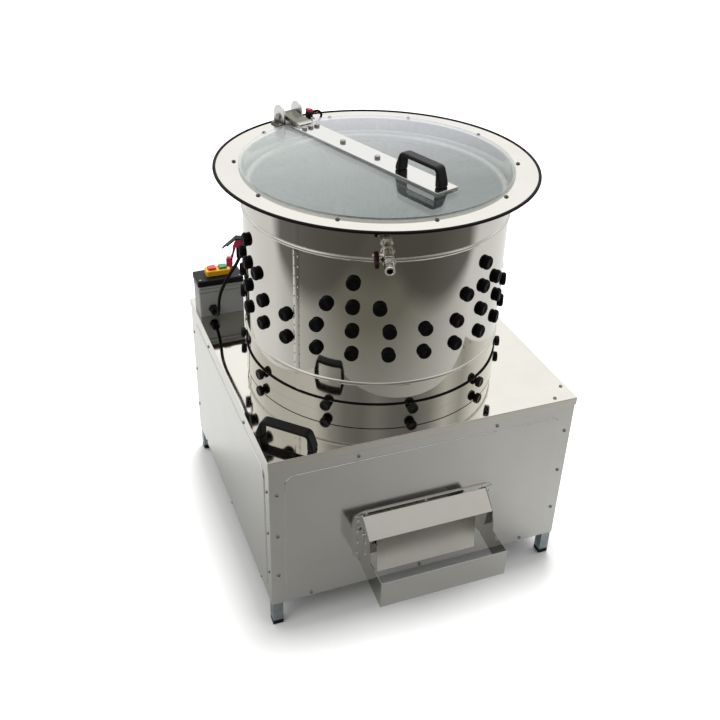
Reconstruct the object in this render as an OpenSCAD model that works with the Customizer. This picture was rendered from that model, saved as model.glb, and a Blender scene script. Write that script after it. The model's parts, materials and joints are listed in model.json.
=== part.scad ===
// Drum poultry plucker: stainless cabinet, finger drum, hinged clear lid, feather chute and belt drive.
// The origin is on the floor under the drum axis, with the front at -Y, the right at +X and +Z up.

/* [Cabinet] */
// Width of the top plate
base_w = 740; // [720:5:860]
// Depth of the top plate
base_d = 730; // [720:5:860]
// Height of the top plate above the floor
top_z = 486; // [470:1:540]
// Thickness of the sheet steel
sheet = 2; // [1.5:0.5:2.5]
// Height of the fold around the top plate
top_fold = 20; // [14:1:30]
// Height of the panels' lower edge above the floor
panel_z = 68; // [50:1:78]
// Height of the lower rails above the floor
rail_z = 80; // [68:1:100]
// Side of the square frame tube
tube = 25; // [22:1:30]
// Wall of the frame tube
tube_wall = 2; // [1.5:0.5:3]
// Height of a foot pad
pad_h = 12; // [8:1:20]
// Radius of the fixing hole in a foot pad
pad_hole_r = 4.5; // [3:0.5:6]
// Height of the pressed field on a panel
field_rise = 2; // [1:0.5:3]
// Width of the plain border beside the pressed field
field_side = 34; // [24:1:45]
// Height of the plain border under the pressed field
field_low = 19; // [14:1:30]
// Height of the plain border between the pressed field and the fold
field_high = 27; // [18:1:40]
// Corner radius of the pressed field
field_r = 25; // [10:1:40]
// Height spacing of the screws at a panel's side edges
side_screw_pitch = 118; // [80:1:150]
// Spacing of the screws at a panel's lower edge
low_screw_pitch = 274; // [200:1:310]
// Distance of the upper screws from a panel's middle
high_screw_x = 167; // [100:1:220]

/* [Drum] */
// Outer radius of the drum
drum_r = 300; // [270:1:310]
// Thickness of the drum wall
drum_wall = 2; // [1.5:0.5:3]
// Height of the drum from the top plate to the flange
drum_h = 470; // [430:1:560]
// Radius of a rolled bead
bead_r = 6; // [4:0.5:8]
// How far a bead stands out of the drum wall
bead_rise = 3; // [2:0.5:3.5]
// Distance of a bead from the drum's end
bead_inset = 85; // [70:1:95]
// Height of the base collar
collar_h = 31; // [29:1:40]
// Wall of the base collar
collar_wall = 3; // [2:0.5:5]
// Height of the black seam gasket
gasket_h = 3; // [2:0.5:6]
// Number of clamp knobs
knob_n = 10; // [6:1:14]
// Bearing of the first clamp knob
knob_az = -4; // [-18:1:18]
// Depth of the clamp knobs under the base collar's upper edge
knob_down = 8; // [7:0.5:12]
// Radius of a clamp knob
knob_r = 12.5; // [9:0.5:14]
// Length of a clamp knob
knob_len = 14; // [10:1:20]
// Width of the splash flange outside the drum
flange_w = 57; // [54:1:75]
// Thickness of the splash flange
flange_t = 2; // [1.5:0.5:4]
// Thickness of the rubber edge trim
trim_t = 3; // [2:0.5:4]
// How far the edge trim reaches over the flange
trim_over = 4; // [3:0.5:4]
// Number of flange screws
flange_screw_n = 10; // [6:1:12]
// Distance of the flange screws from the drum wall
flange_screw_out = 14; // [11:1:18]
// Width of the drum's turned rim under the flange
rim_w = 26; // [22:1:27]

/* [Fingers] */
// Rubber fingers in a full row
finger_n = 24; // [16:4:28]
// Bearing of the first finger column
finger_az = -30; // [-45:1:-15]
// Height of the lowest finger row above the top plate
row_up = 161; // [140:1:180]
// Height spacing of the finger rows
row_pitch = 56.5; // [50:0.5:60]
// Bearing step of the side fingers in the third row
side_az = 10.7; // [8:0.1:13]
// Length of a finger inside the wall
finger_len = 95; // [80:1:110]
// Radius of a finger's outer head
head_r = 15.5; // [13:0.5:17]
// Height of a finger's outer head
head_h = 11; // [8:0.5:14]
// Radius of a finger's neck in its hole
neck_r = 9; // [7:0.5:11]
// Radius of a finger at its root
root_r = 11; // [9.5:0.5:13]
// Radius of a finger at its tip
tip_r = 7.5; // [6:0.5:9]
// Ribs on a finger
rib_n = 5; // [3:1:7]

/* [Lid] */
// How far the clear lid reaches past the drum wall
lid_over = 4; // [0:0.5:8]
// Thickness of the clear lid
lid_t = 6; // [4:0.5:8]
// Bearing of the lid strap's tip
lid_turn = 19; // [10:1:30]
// Width of the lid strap
strap_w = 60; // [45:1:70]
// Thickness of the lid strap
strap_t = 5; // [4:0.5:7]
// Distance of the strap's tip from the drum axis
strap_tip = 222; // [195:1:260]
// Distance of the strap's end from the hinge axis
strap_back = 54; // [48:1:70]
// Clear space between the lid's edge and a hinge ear
hinge_gap = 4; // [2:0.5:6]
// Height of the hinge axis above the flange
hinge_up = 20; // [18:1:26]
// Height of a hinge ear's round centre above the flange
ear_up = 27; // [25:1:29]
// Radius of a hinge ear's round top
ear_r = 21; // [17:0.5:22]
// Thickness of a hinge ear
ear_t = 5; // [3:0.5:7]
// Clear space between the hinge ears
ear_gap = 46; // [40:1:52]
// Radius of the hinge pin
pin_r = 5; // [4:0.5:6]
// Radius of the hinge knuckle
knuckle_r = 8.5; // [7:0.5:9]
// Distance of the lid handle from the strap's tip
handle_inset = 13; // [6:1:22]

/* [Handles] */
// Length of a bridge handle
handle_len = 137; // [115:1:150]
// Height of a bridge handle
handle_h = 43; // [38:1:50]
// Width of a bridge handle
handle_w = 26; // [20:1:28]
// Thickness of a bridge handle's bar
handle_bar = 9; // [7:1:12]
// Distance of a carry handle's middle from the top plate's edges
handle_corner = 60; // [58:1:90]

/* [Water valve] */
// Bearing of the water valve
valve_az = -18; // [-60:1:60]
// Depth of the valve pipe under the flange at the drum wall
valve_down = 42; // [38:1:50]
// Slope of the valve pipe
valve_tilt = 10; // [0:1:15]
// Outer radius of the feed pipe
pipe_r = 8; // [7:0.5:9]
// Length of the feed pipe outside the drum
pipe_len = 28; // [24:1:34]
// Radius of the valve body
valve_r = 12; // [11:0.5:14]
// Length of the valve body
valve_len = 40; // [36:1:48]
// Outer radius of the hose nipple
nipple_r = 10.5; // [10:0.5:12]
// Length of the hose nipple
nipple_len = 32; // [24:1:40]
// Water bore through the valve and the nipple
water_bore_r = 6; // [4:0.5:6.5]
// Length of the valve lever
lever_len = 30; // [22:1:45]
// Radius of the spray ring's tube
spray_tube_r = 8; // [6:0.5:9]

/* [Control box] */
// Width of the control box
box_w = 116; // [104:1:120]
// Depth of the control box
box_d = 64; // [56:1:66]
// Height of the control box without its cover
box_h = 87; // [75:1:100]
// Wall of the control box
box_wall = 3; // [2:0.5:4]
// Height of the black cover
cover_h = 15; // [10:1:20]
// How far the cover stands over the box
cover_over = 1.5; // [0.5:0.5:2.5]
// Distance of the control box from the top plate's left edge
box_side = 5; // [2:1:10]
// Distance of the control box from the top plate's back edge
box_back = 44; // [10:1:50]
// Width of the yellow switch housing
switch_w = 62; // [56:1:70]
// Depth of the yellow switch housing
switch_d = 32; // [28:1:40]
// Height of the yellow switch housing
switch_h = 14; // [12:1:18]
// Side of a push button
button_w = 20; // [16:1:22]
// Space between the push buttons
button_gap = 8; // [5:1:10]
// How far a button stands out of its housing
button_out = 6; // [5:0.5:8]
// Travel of a button
button_travel = 4; // [3:0.5:4]

/* [Chute] */
// Width of the chute between its cheeks' outer faces
chute_w = 312; // [290:1:340]
// Reach of the chute in front of the panel
chute_reach = 128; // [115:1:160]
// Height of the chute's front wall
chute_lip_h = 72; // [50:1:90]
// Height of the chute's lower front edge above the floor
chute_low_z = 118; // [100:1:128]
// How far the chute's mounting plate stands out beside the cheeks
mount_side = 19; // [18:1:28]
// Height of the chute's mounting plate
mount_h = 140; // [125:1:160]
// Height of the mounting plate's upper edge above the floor
mount_top_z = 290; // [282:1:310]
// Width of the feather opening
mouth_w = 250; // [200:1:270]
// Height of the feather opening
mouth_h = 78; // [65:1:88]
// Distance of the flap's axis from the panel
flap_out = 17; // [14:0.5:22]
// Depth of the flap's axis under the mounting plate's upper edge
flap_down = 54; // [48:1:62]
// Length of the flap
flap_len = 110; // [90:1:120]
// Lean of the hanging flap
flap_lean = 8; // [4:0.5:14]
// Radius of the flap rod
rod_r = 3; // [2.5:0.5:4]

/* [Drive] */
// Gap between the drum wall's outer face and the rotating feather plate
plate_gap = 20; // [14:1:30]
// Thickness of the feather plate
plate_t = 5; // [4:0.5:8]
// Height of the feather plate above the top plate
plate_up = 14; // [12:1:18]
// Radius of the drive shaft
shaft_r = 12.5; // [10:0.5:15]
// Outer radius of the bearing column
column_r = 35; // [32:1:40]
// Outer radius of a bearing
bearing_r = 26; // [22:1:28]
// Height of a bearing
bearing_h = 15; // [12:1:20]
// Radius of the large pulley
big_r = 100; // [90:1:110]
// Radius of the motor pulley
small_r = 32; // [28:1:36]
// Height of the pulleys
pulley_h = 20; // [18:1:22]
// Distance of the motor axis from the drum axis
motor_y = 215; // [195:1:235]
// Radius of the motor body
motor_r = 66; // [55:1:70]
// Height of the motor body
motor_h = 140; // [110:1:144]
// Radius of the motor shaft
motor_shaft_r = 9.5; // [8:0.5:12]
// Distance of a drive beam from the middle
beam_x = 60; // [50:1:70]
// Thickness of the mounting plates on the beams
beam_plate_t = 8; // [6:1:10]
// How far the feather pan reaches past the top plate's hole
pan_over = 12; // [6:1:20]
// Height of the pan floor at the back above the floor
pan_back_z = 352; // [340:1:400]
// Height of the pan floor at the front above the floor
pan_front_z = 194; // [188:1:202]

/* [Clearances] */
// Running clearance of shafts and pins in their bores
run = 0.05; // [0.02:0.01:0.1]
// Clearance between fixed pieces that nest
fit = 0.2; // [0.1:0.05:0.3]
// Clearance between moving bodies
clear = 0.4; // [0.3:0.05:0.5]

/* [Hidden] */
$fn = 48;
eps = 1;

// Cabinet planes
face_x = base_w / 2 - sheet;
face_y = base_d / 2 - sheet;
frame_x = face_x - sheet;
frame_y = face_y - sheet;
under_z = top_z - sheet;
panel_h = under_z - panel_z;
field_y = -(face_y + field_rise);
leg_x = frame_x - tube / 2;
leg_y = frame_y - tube / 2;
screw_r = 4.5;
screw_h = 2.5;
corner_screw = 14;
corner_pitch = 38;
corner_back = 52;

// Drum planes
flange_z = top_z + drum_h;
flange_top = flange_z + flange_t;
flange_r = drum_r + flange_w;
rim_r = drum_r + rim_w;
flange_screw_ring = drum_r + flange_screw_out;
drum_in = drum_r - drum_wall;
hole_inset = 12;
hole_r = drum_r - hole_inset;
collar_r = drum_r + fit + collar_wall;
stud_r = 4;
knob_z = top_z + collar_h - knob_down;
nut_h = 5;
nut_seat = collar_wall + drum_wall + 2 * fit + 0.3;
trim_lip = 2;
bead_zs = [top_z + bead_inset, flange_z - bead_inset];
lap_step = 1.6333;
lap_w = 16;
lap_t = 1.2;
lap_turn = 180 * lap_w / (PI * drum_r);
rivet_r = 2.2;
rivet_n = 12;

// Fingers
column_step = 360 / finger_n;
lap_az = finger_az - lap_step * column_step;
cluster_step = 4 * column_step;
finger_spots = concat(
    [for (row = [0, 1], k = [0 : finger_n - 1]) [finger_az + k * column_step, row]],
    [for (c = [0 : finger_n / 4 - 1], s = [-1, 0, 1]) [finger_az + c * cluster_step + s * side_az, 2]],
    [for (c = [0 : finger_n / 4 - 1]) [finger_az + c * cluster_step, 3]]);
seat_r = 13.5;
seat_h = 6;
seat_gap = 0.5;
finger_hole_r = neck_r + fit / 2;

// Lid planes
lid_gap = 0.5;
lid_r = drum_r + lid_over;
hinge_r = lid_r + hinge_gap + ear_r;
strap_end = hinge_r - strap_back;
lid_z = flange_top + lid_gap;
strap_z = lid_z + lid_t;
strap_top = strap_z + strap_t;
hinge_z = flange_top + hinge_up;
ear_x = ear_gap / 2;
bracket_t = 4;
bracket_w = 2 * (ear_x + ear_t + 12);
bolt_r = 4;
tongue = 18;
strap_bolts = [120, 0];
hinge_bolt_pitch = 18;
hinge_bolt_back = 35;
hinge_bolts = [for (k = [-1, 0, 1]) [k * hinge_bolt_pitch, strap_end - hinge_bolt_back]];

// Lid switch beside the hinge
switch_box = [12, 16, 18];
switch_x = bracket_w / 2 + switch_box[0] / 2 + 10.5;
switch_y = lid_r + 8;
cap_h = 7;
plunger_r = 3.5;
plunger_up = 5;
plunger_travel = 3;
plunger_tip = sqrt(pow(lid_r, 2) - pow(switch_x - plunger_r, 2)) + clear;
plunger_in = 9;
plunger_end = switch_y + plunger_in;

// Handles
foot_l = 14;
handle_slope = 12;
handle_bolt_r = 3;
handle_bore = 12;
lid_handle_y = strap_tip - handle_inset - handle_len / 2;
lid_bolt_spots = concat([for (y = strap_bolts) [0, y]], hinge_bolts,
    [for (s = [-1, 1]) [0, -lid_handle_y + s * (handle_len - foot_l) / 2]]);

// Water valve
valve_z = flange_z - valve_down;
spray_r = drum_in - 4 - spray_tube_r;
pipe_nut_h = 8;
pipe_nut_out = 2.5;
hex_h = 9;
nipple_in = 8;
nipple_hex_h = 5;
stem_r = 3;
stem_out = valve_r + 16;
lever_t = 9;
lever_w = 16;
valve_mid = pipe_len + valve_len / 2;

// Control box
cover_z = top_z + box_h;
switch_z = cover_z + cover_h;
button_z = switch_z + switch_h + button_out;
button_x = (button_w + button_gap) / 2;
housing_floor = 2;
button_spare = 1;
button_h = switch_h + button_out - housing_floor - button_travel - button_spare;
pocket_z = switch_z + housing_floor;
box_x = base_w / 2 - box_side - box_w / 2;
box_y = base_d / 2 - box_back - box_d / 2;
switch_back = 4;
gland_x = -24;
gland_up = 22;
gland_r = 11;
gland_len = 22;
gland_nut_h = 6;
gland_hex_h = 7;
gland_bore = 12;
gland_at = [-box_x + gland_x, box_y - box_d / 2, top_z + gland_up];

// Leads, with their routes through hand-chosen points
lead_r = 4;
thin_r = 3;
grommet_play = 3.5;
clip_play = 1.8;
clip_wall = 1.8;
clip_out = 32;
clip_down = 16;
coupler_az = finger_az - 5.5 * column_step;
coupler_out = 13;
coupler_r = drum_r + coupler_out;
coupler_at = coupler_r * [sin(coupler_az), -cos(coupler_az)];
socket_w = 15;
socket_h = 21;
coupler_up = 255;
socket_z = top_z + coupler_up;
foot_up = 2;
foot_h = 16;
foot_w = 12;
foot_gap = 0.6;
plug_w = 14;
plug_h = 27;
latch_drop = 51;
latch_out = 32;
latch_w = 14;
cap = [21, 17, 3];
wing_w = 10;
wing_t = 3;
wing_l = [46, 29];
wing_droop = 42;
route_steps = 3;
clip_ring = drum_r + clip_out;
clip_z = flange_z - clip_down;
plug_at = [coupler_at[0], coupler_at[1], socket_z - plug_h];
socket_back = [coupler_at[0] - socket_w / 2 * cos(coupler_az), coupler_at[1] - socket_w / 2 * sin(coupler_az),
    socket_z + 8];
lower_route = concat(
    [for (d = [[0, -12, 0], [0, -24, 0], [0, -36.1, 1.7], [0, -47.3, 6.7], [0, -56.7, 14.6], [0, -63.5, 25],
        [0, -68.6, 40]]) gland_at + d],
    [for (d = [[-41, 63, -141], [-36, 55.5, -114], [-27, 45.5, -86], [-17, 32.5, -57.5], [-7, 17.5, -29.5],
        [0, 0, 0]]) plug_at + d]);
lead_out = switch_x + switch_box[0] / 2;
lead_y = switch_y + 11;
lead_z = flange_top + 14;
lead_bend = (lead_z - clip_z) / 2;
lead_turn = lead_out + 18;
upper_route = concat(
    [for (x = [lead_out - 5, lead_out + 4, lead_turn]) lid_at(x, lead_y, lead_z)],
    [for (a = [60, 30, 0, -30, -60, -90])
        lid_at(lead_turn + lead_bend * cos(a), lead_y, lead_z - lead_bend + lead_bend * sin(a))],
    [for (az = [-173.4, -171, -167, -162, -156, -150, -144, -138.5]) around(clip_ring, az, clip_z)],
    [for (d = [[15, -21.2, 193], [10, -17.2, 173], [6, -15.4, 144], [4, -15, 112], [3, -15, 80], [2, -14.6, 50],
        [1, -12.6, 24], [0, -8.6, 10]]) around(coupler_r + d[0], coupler_az + d[1], socket_z + d[2])],
    [socket_back]);
grommet_at = lid_at(lead_turn + lead_bend, lead_y, flange_z);
clip_azs = [-164, -140];
clip_w = 12;
clip_foot = 10;

// Chute
chute_in = chute_w / 2 - sheet;
mount_z = mount_top_z - mount_h / 2;
mouth_z = pan_front_z - 8;
chute_lip_z = chute_low_z + chute_lip_h;
mount_w = chute_w + 2 * mount_side;
mount_corner = 20;
mouth_side = 3;
hood_y = 46;
hood_drop = 48;
hood_z = mount_top_z - hood_drop;
hood_leg = 11;
hood_fold = 3;
tab_w = 16;
tab_screws = [-48, -16, 16, 48];
cheek_screws = [0, 33];
cheek_screw_out = 30;
flap_z = mount_top_z - flap_down;
flap_w = mouth_w;
barrel_r = 6;
spout = flap_out + (flap_z - pan_front_z) * tan(flap_lean) - sheet / 2 / cos(flap_lean) - clear;

// Drive
beam_plate_side = 30;
beam_plate_l = 150;
beam_z = rail_z + tube;
beam_top = beam_z + tube;
base_plate_z = beam_top + beam_plate_t;
column_top = top_z - 10;
plate_z = top_z + plate_up;
hub_r = 45;
hub_gap = 3;
plate_r = drum_r - plate_gap;
ring_pitch = 70;
ring_inset = 30;
plate_rings = [for (k = [0 : 2]) [[18, 12, 8][k], plate_r - ring_inset - k * ring_pitch]];
pulley_gap = 3;
pulley_z = beam_z - pulley_h - pulley_gap;
groove = 10;
groove_rim = 4;
groove_foot = 7;
belt_t = 8;
belt_w = pulley_h - 2 * groove_foot - 2 * clear;
motor_z = base_plate_z;
motor_flange_h = 8;
motor_flange_w = 10;
motor_cap_h = 40;
motor_cap_w = 4;
rotor_in = 30;
terminal_box = [70, 40, 50];
terminal_up = 30;
terminal_out = 18;
pan_w = 2 * (hole_r + pan_over);
pan_inset = 40;
pan_y0 = pan_inset - base_d / 2;
pan_y1 = hole_r + pan_over;
pan_slope = (pan_back_z - pan_front_z) / (pan_y1 - field_y);

steel = [0.75, 0.75, 0.73];
bright = [0.85, 0.85, 0.84];
black = [0.07, 0.07, 0.07];

// Point at a radius, a bearing and a height
function around(r, az, z) = [r * sin(az), -r * cos(az), z];

// Point in the lid's frame
function lid_at(x, y, z) = [x * cos(lid_turn) - y * sin(lid_turn), x * sin(lid_turn) + y * cos(lid_turn), z];

// Height of a finger row
function finger_z(row) = top_z + row_up + row * row_pitch;

// Height of the pan floor's underside at a depth
function pan_z(y) = pan_front_z + (y - field_y) * pan_slope;

// Points of a smooth curve through a route, with its end tangents along the end legs
function blend(a, b, c, d, t) = 0.5 * (2 * b + (c - a) * t + (2 * a - 5 * b + 4 * c - d) * t * t
    + (3 * b - a - 3 * c + d) * t * t * t);
function smooth(p) = let (n = len(p)) concat(
    [for (i = [0 : n - 2], s = [0 : route_steps - 1])
        blend(p[max(i - 1, 0)], p[i], p[i + 1], p[min(i + 2, n - 1)], s / route_steps)],
    [p[n - 1]]);
function unit(v) = v / norm(v);
function heading(p, i) = unit(p[min(i + 1, len(p) - 1)] - p[max(i - 1, 0)]);
function square_to(u, t) = unit(u - t * (u * t));
function sides(p) = [for (i = 0, u = square_to([0.31, 0.17, 0.93], heading(p, 0)); i < len(p);
    i = i + 1, u = square_to(u, heading(p, min(i, len(p) - 1)))) u];

// Two-dimensional rounded rectangle
module rounded(w, h, r) {
    square([w - 2 * r, h], center = true);
    square([w, h - 2 * r], center = true);
    for (x = [-1, 1], y = [-1, 1]) translate([x * (w / 2 - r), y * (h / 2 - r)]) circle(r);
}

// Outline in X and Z, standing from its plane towards the front
module upright(t) rotate([90, 0, 0]) linear_extrude(t) children();

// Outline in Y and Z, extruded along X about the middle
module side_profile(w) rotate([90, 0, 90]) linear_extrude(w, center = true) children();

// Cylinder from one radius out to another, at a bearing and a height
module radial(az, r0, r1, z, r) {
    rotate([0, 0, az]) translate([0, -r0, z]) rotate([90, 0, 0]) cylinder(h = r1 - r0, r = r);
}

// Round screw head that stands on the plane z = 0
module screw_head(r = screw_r, h = screw_h) {
    rotate_extrude() polygon([[0, 0], [r, 0], [r, h * 0.45], [r * 0.7, h], [0, h]]);
}

// Swept tube along a route
module lead(route, r) {
    p = smooth(route);
    n = len(p);
    u = sides(p);
    k = 8;
    rings = [for (i = [0 : n - 1], j = [0 : k - 1])
        p[i] + r * (cos(360 * j / k) * u[i] + sin(360 * j / k) * cross(heading(p, i), u[i]))];
    walls = [for (i = [0 : n - 2], j = [0 : k - 1], h = [0, 1])
        h == 0 ? [i * k + j, (i + 1) * k + j, i * k + (j + 1) % k]
            : [i * k + (j + 1) % k, (i + 1) * k + j, (i + 1) * k + (j + 1) % k]];
    polyhedron(rings, concat(walls, [[for (j = [0 : k - 1]) j]],
        [[for (j = [0 : k - 1]) n * k - 1 - j]]), convexity = 6);
}

// Hollow square tube along X about the middle
module frame_tube(l) {
    difference() {
        cube([l, tube, tube], center = true);
        cube([l + eps, tube - 2 * tube_wall, tube - 2 * tube_wall], center = true);
    }
}

module base_frame() {
    color(steel)
    union() {
        for (x = [-1, 1], y = [-1, 1]) translate([x * leg_x, y * leg_y, (pad_h + under_z) / 2])
            rotate([0, 90, 0]) frame_tube(under_z - pad_h);
        for (z = [rail_z, under_z - tube]) {
            for (y = [-1, 1]) translate([0, y * leg_y, z + tube / 2]) frame_tube(2 * leg_x - tube);
            for (x = [-1, 1]) translate([x * leg_x, 0, z + tube / 2]) rotate([0, 0, 90])
                frame_tube(2 * leg_y - tube);
        }
    }
}

module foot_pads() {
    plug = tube - 2 * tube_wall - 2 * fit;
    color(black)
    for (x = [-1, 1], y = [-1, 1]) translate([x * leg_x, y * leg_y, 0]) difference() {
        union() {
            translate([0, 0, pad_h / 2]) cube([tube, tube, pad_h], center = true);
            translate([0, 0, pad_h]) cube([plug, plug, pad_h], center = true);
        }
        translate([0, 0, -eps]) cylinder(h = 2 * pad_h + 2 * eps, r = pad_hole_r);
    }
}

module top_plate() {
    color(bright)
    difference() {
        translate([-base_w / 2, -base_d / 2, top_z - top_fold]) cube([base_w, base_d, top_fold]);
        translate([-face_x, -face_y, top_z - top_fold - eps])
            cube([2 * face_x, 2 * face_y, top_fold + eps - sheet]);
        cylinder(h = top_z + eps, r = hole_r);
    }
}

// Panel of pressed sheet whose outer face lies on the plane y = 0
module pressed_panel(w) {
    field_w = w - 2 * field_side;
    field_h = panel_h - field_low - field_high - top_fold + sheet;
    mid = field_low + field_h / 2;
    difference() {
        union() {
            translate([0, sheet, panel_h / 2]) upright(sheet) square([w, panel_h], center = true);
            translate([0, eps / 2, mid]) upright(field_rise + eps / 2) rounded(field_w, field_h, field_r);
        }
        translate([0, sheet + eps, mid]) upright(field_rise + eps)
            rounded(field_w - 2 * sheet, field_h - 2 * sheet, field_r - sheet);
    }
}

// Screw spots of a panel in its own plane
function panel_spots(w) = concat(
    [for (x = [-1, 1], k = [-1, 0, 1]) [x * (w / 2 - field_side / 2), panel_h / 2 + k * side_screw_pitch]],
    [for (k = [-1, 0, 1]) [k * low_screw_pitch, field_low / 2]],
    [for (k = [-1, 1]) [k * high_screw_x, panel_h - top_fold + sheet - field_high / 2]]);

module mouth_cut() {
    translate([0, 0, mouth_z + mouth_h / 2]) upright(4 * sheet + 4 * field_rise)
        square([mouth_w + 2 * mouth_side, mouth_h], center = true);
}

module front_panel() {
    color(steel)
    difference() {
        translate([0, -face_y, panel_z]) pressed_panel(2 * face_x);
        translate([0, -frame_y + eps, 0]) mouth_cut();
    }
}

module back_panel() {
    color(steel)
    rotate([0, 0, 180]) translate([0, -face_y, panel_z]) pressed_panel(2 * face_x);
}

module side_panel(turn) {
    rotate([0, 0, turn]) translate([0, -face_x, panel_z]) pressed_panel(2 * frame_y);
}

module left_panel() {
    color(steel)
    side_panel(-90);
}

module right_panel() {
    color(steel)
    side_panel(90);
}

module cabinet_screws() {
    color(bright) {
        for (turn = [0, 180], s = panel_spots(2 * face_x)) rotate([0, 0, turn])
            translate([s[0], -face_y, panel_z + s[1]]) rotate([90, 0, 0]) screw_head();
        for (turn = [-90, 90], s = panel_spots(2 * frame_y)) rotate([0, 0, turn])
            translate([s[0], -face_x, panel_z + s[1]]) rotate([90, 0, 0]) screw_head();
        translate([base_w / 2 - corner_screw, corner_back - base_d / 2, top_z])
            for (s = [0, 1]) translate([-corner_pitch * s, -corner_pitch * s, 0]) screw_head();
    }
}

module base_collar() {
    color(bright)
    difference() {
        translate([0, 0, top_z]) difference() {
            cylinder(h = collar_h, r = collar_r);
            translate([0, 0, -eps]) cylinder(h = collar_h + 2 * eps, r = drum_r + fit);
        }
        knob_bores();
    }
}

module seam_gasket() {
    color(black)
    translate([0, 0, top_z + collar_h]) difference() {
        cylinder(h = gasket_h, r = collar_r);
        translate([0, 0, -eps]) cylinder(h = gasket_h + 2 * eps, r = drum_r + fit);
    }
}

// Bearings of the clamp knobs
module knob_places() {
    for (k = [0 : knob_n - 1]) rotate([0, 0, knob_az + k * 360 / knob_n]) children();
}

module knob_bores() {
    knob_places() radial(0, drum_in - 10, collar_r + 10, knob_z, stud_r + fit);
}

module clamp_knobs() {
    color(black)
    knob_places() translate([0, -collar_r - fit, knob_z]) rotate([90, 0, 0]) union() {
        rotate_extrude() polygon([[0, 0], [knob_r * 0.6, 0], [knob_r * 0.6, 3], [knob_r, 4.5],
            [knob_r, knob_len - 3], [knob_r - 2.5, knob_len], [0, knob_len]]);
        translate([0, 0, -nut_seat - nut_h - 1]) cylinder(h = nut_seat + nut_h + 1 + eps, r = stud_r);
        translate([0, 0, -nut_seat - nut_h]) cylinder(h = nut_h, r = stud_r * 1.7);
    }
}

// Drum section with its two beads, filled to the axis
module drum_fill(r, swell) {
    translate([0, top_z]) square([r, drum_h]);
    for (z = bead_zs) translate([r - (bead_r - bead_rise), z]) circle(swell);
}

module drum_shell() {
    color(bright)
    difference() {
        union() {
            rotate_extrude() difference() {
                union() {
                    drum_fill(drum_r, bead_r);
                    translate([0, flange_z - drum_wall]) square([rim_r, drum_wall]);
                }
                union() {
                    translate([0, top_z - eps]) square([drum_in, drum_h + 2 * eps]);
                    for (z = bead_zs) translate([drum_r - (bead_r - bead_rise), z])
                        circle(bead_r - drum_wall);
                }
            }
            rotate([0, 0, lap_az - 90 - lap_turn / 2]) rotate_extrude(angle = lap_turn)
                translate([drum_r - drum_wall / 2, bead_zs[0] + bead_r])
                    square([lap_t + drum_wall / 2, bead_zs[1] - bead_zs[0] - 2 * bead_r]);
        }
        for (s = finger_spots) radial(s[0], drum_in - 10, drum_r + 10, finger_z(s[1]), finger_hole_r);
        knob_bores();
        valve_place() translate([0, 0, -30]) cylinder(h = 60, r = pipe_r + fit);
        flange_screw_places() translate([0, 0, flange_z - 10]) cylinder(h = 20, r = bolt_r);
    }
}

// Places of the flange screws around the drum
module flange_screw_places() {
    for (k = [0 : flange_screw_n - 1]) rotate([0, 0, k * 360 / flange_screw_n])
        translate([0, -flange_screw_ring, 0]) children();
}

module drum_rivets() {
    rows = [for (k = [0 : rivet_n - 1]) bead_zs[0] + 20 + k * (bead_zs[1] - bead_zs[0] - 40) / (rivet_n - 1)];
    color(steel)
    for (s = [-1, 1], z = rows) rotate([0, 0, lap_az + s * lap_turn / 3])
        translate([0, -drum_r - lap_t, z]) rotate([90, 0, 0]) screw_head(rivet_r, 1);
}

// Ribbed rubber finger through a wall whose outer face lies on z = 0, with its head above
module finger(wall) {
    top = -wall - seat_gap;
    rib_top = top - seat_h - 3;
    pitch = (finger_len - seat_h - 14) / rib_n;
    ribs = [for (k = [0 : rib_n - 1], s = [0 : 3]) let (r = root_r + (tip_r - root_r) * k / rib_n)
        [s < 2 ? r : r - 1.5, rib_top - (k + (s == 0 ? 0.1 : s == 1 ? 0.55 : s == 2 ? 0.65 : 1)) * pitch]];
    rotate_extrude($fn = 32) polygon(concat(
        [[0, head_h], [head_r - 3, head_h], [head_r, head_h - 3], [head_r, fit], [neck_r, fit], [neck_r, top],
            [seat_r, top], [seat_r, top - seat_h], [root_r - 1.5, rib_top]],
        ribs,
        [[tip_r - 1.5, -wall - finger_len + 3], [tip_r - 3.5, -wall - finger_len], [0, -wall - finger_len]]));
}

module drum_fingers() {
    color(black)
    for (s = finger_spots) rotate([0, 0, s[0]]) translate([0, -drum_r, finger_z(s[1])])
        rotate([90, 0, 0]) finger(drum_wall);
}

module flange_ring() {
    color(bright)
    difference() {
        translate([0, 0, flange_z]) cylinder(h = flange_t, r = flange_r);
        translate([0, 0, flange_z - eps]) cylinder(h = flange_t + 2 * eps, r = drum_in);
        flange_screw_places() translate([0, 0, flange_z - 10]) cylinder(h = 20, r = bolt_r);
        translate([grommet_at[0], grommet_at[1], flange_z - 10]) cylinder(h = 20, r = thin_r + grommet_play);
    }
}

module flange_trim() {
    color(black)
    rotate_extrude() difference() {
        translate([flange_r - trim_over, flange_z - trim_lip])
            square([trim_over + trim_t, flange_t + 2 * trim_lip]);
        translate([flange_r - trim_over - eps, flange_z]) square([trim_over + eps, flange_t]);
    }
}

module flange_screws() {
    tail = 8;
    color(steel)
    flange_screw_places() union() {
        translate([0, 0, flange_top]) screw_head(6, 3);
        translate([0, 0, flange_z - drum_wall - tail])
            cylinder(h = drum_wall + flange_t + tail + eps / 2, r = bolt_r - fit);
        translate([0, 0, flange_z - drum_wall - nut_h]) cylinder(h = nut_h, r = 6.5, $fn = 6);
    }
}

// Frame of the valve: +Z runs out along the pipe from the drum wall
module valve_place() {
    rotate([0, 0, valve_az]) translate([0, -drum_r, valve_z]) rotate([90 + valve_tilt, 0, 0]) children();
}

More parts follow.
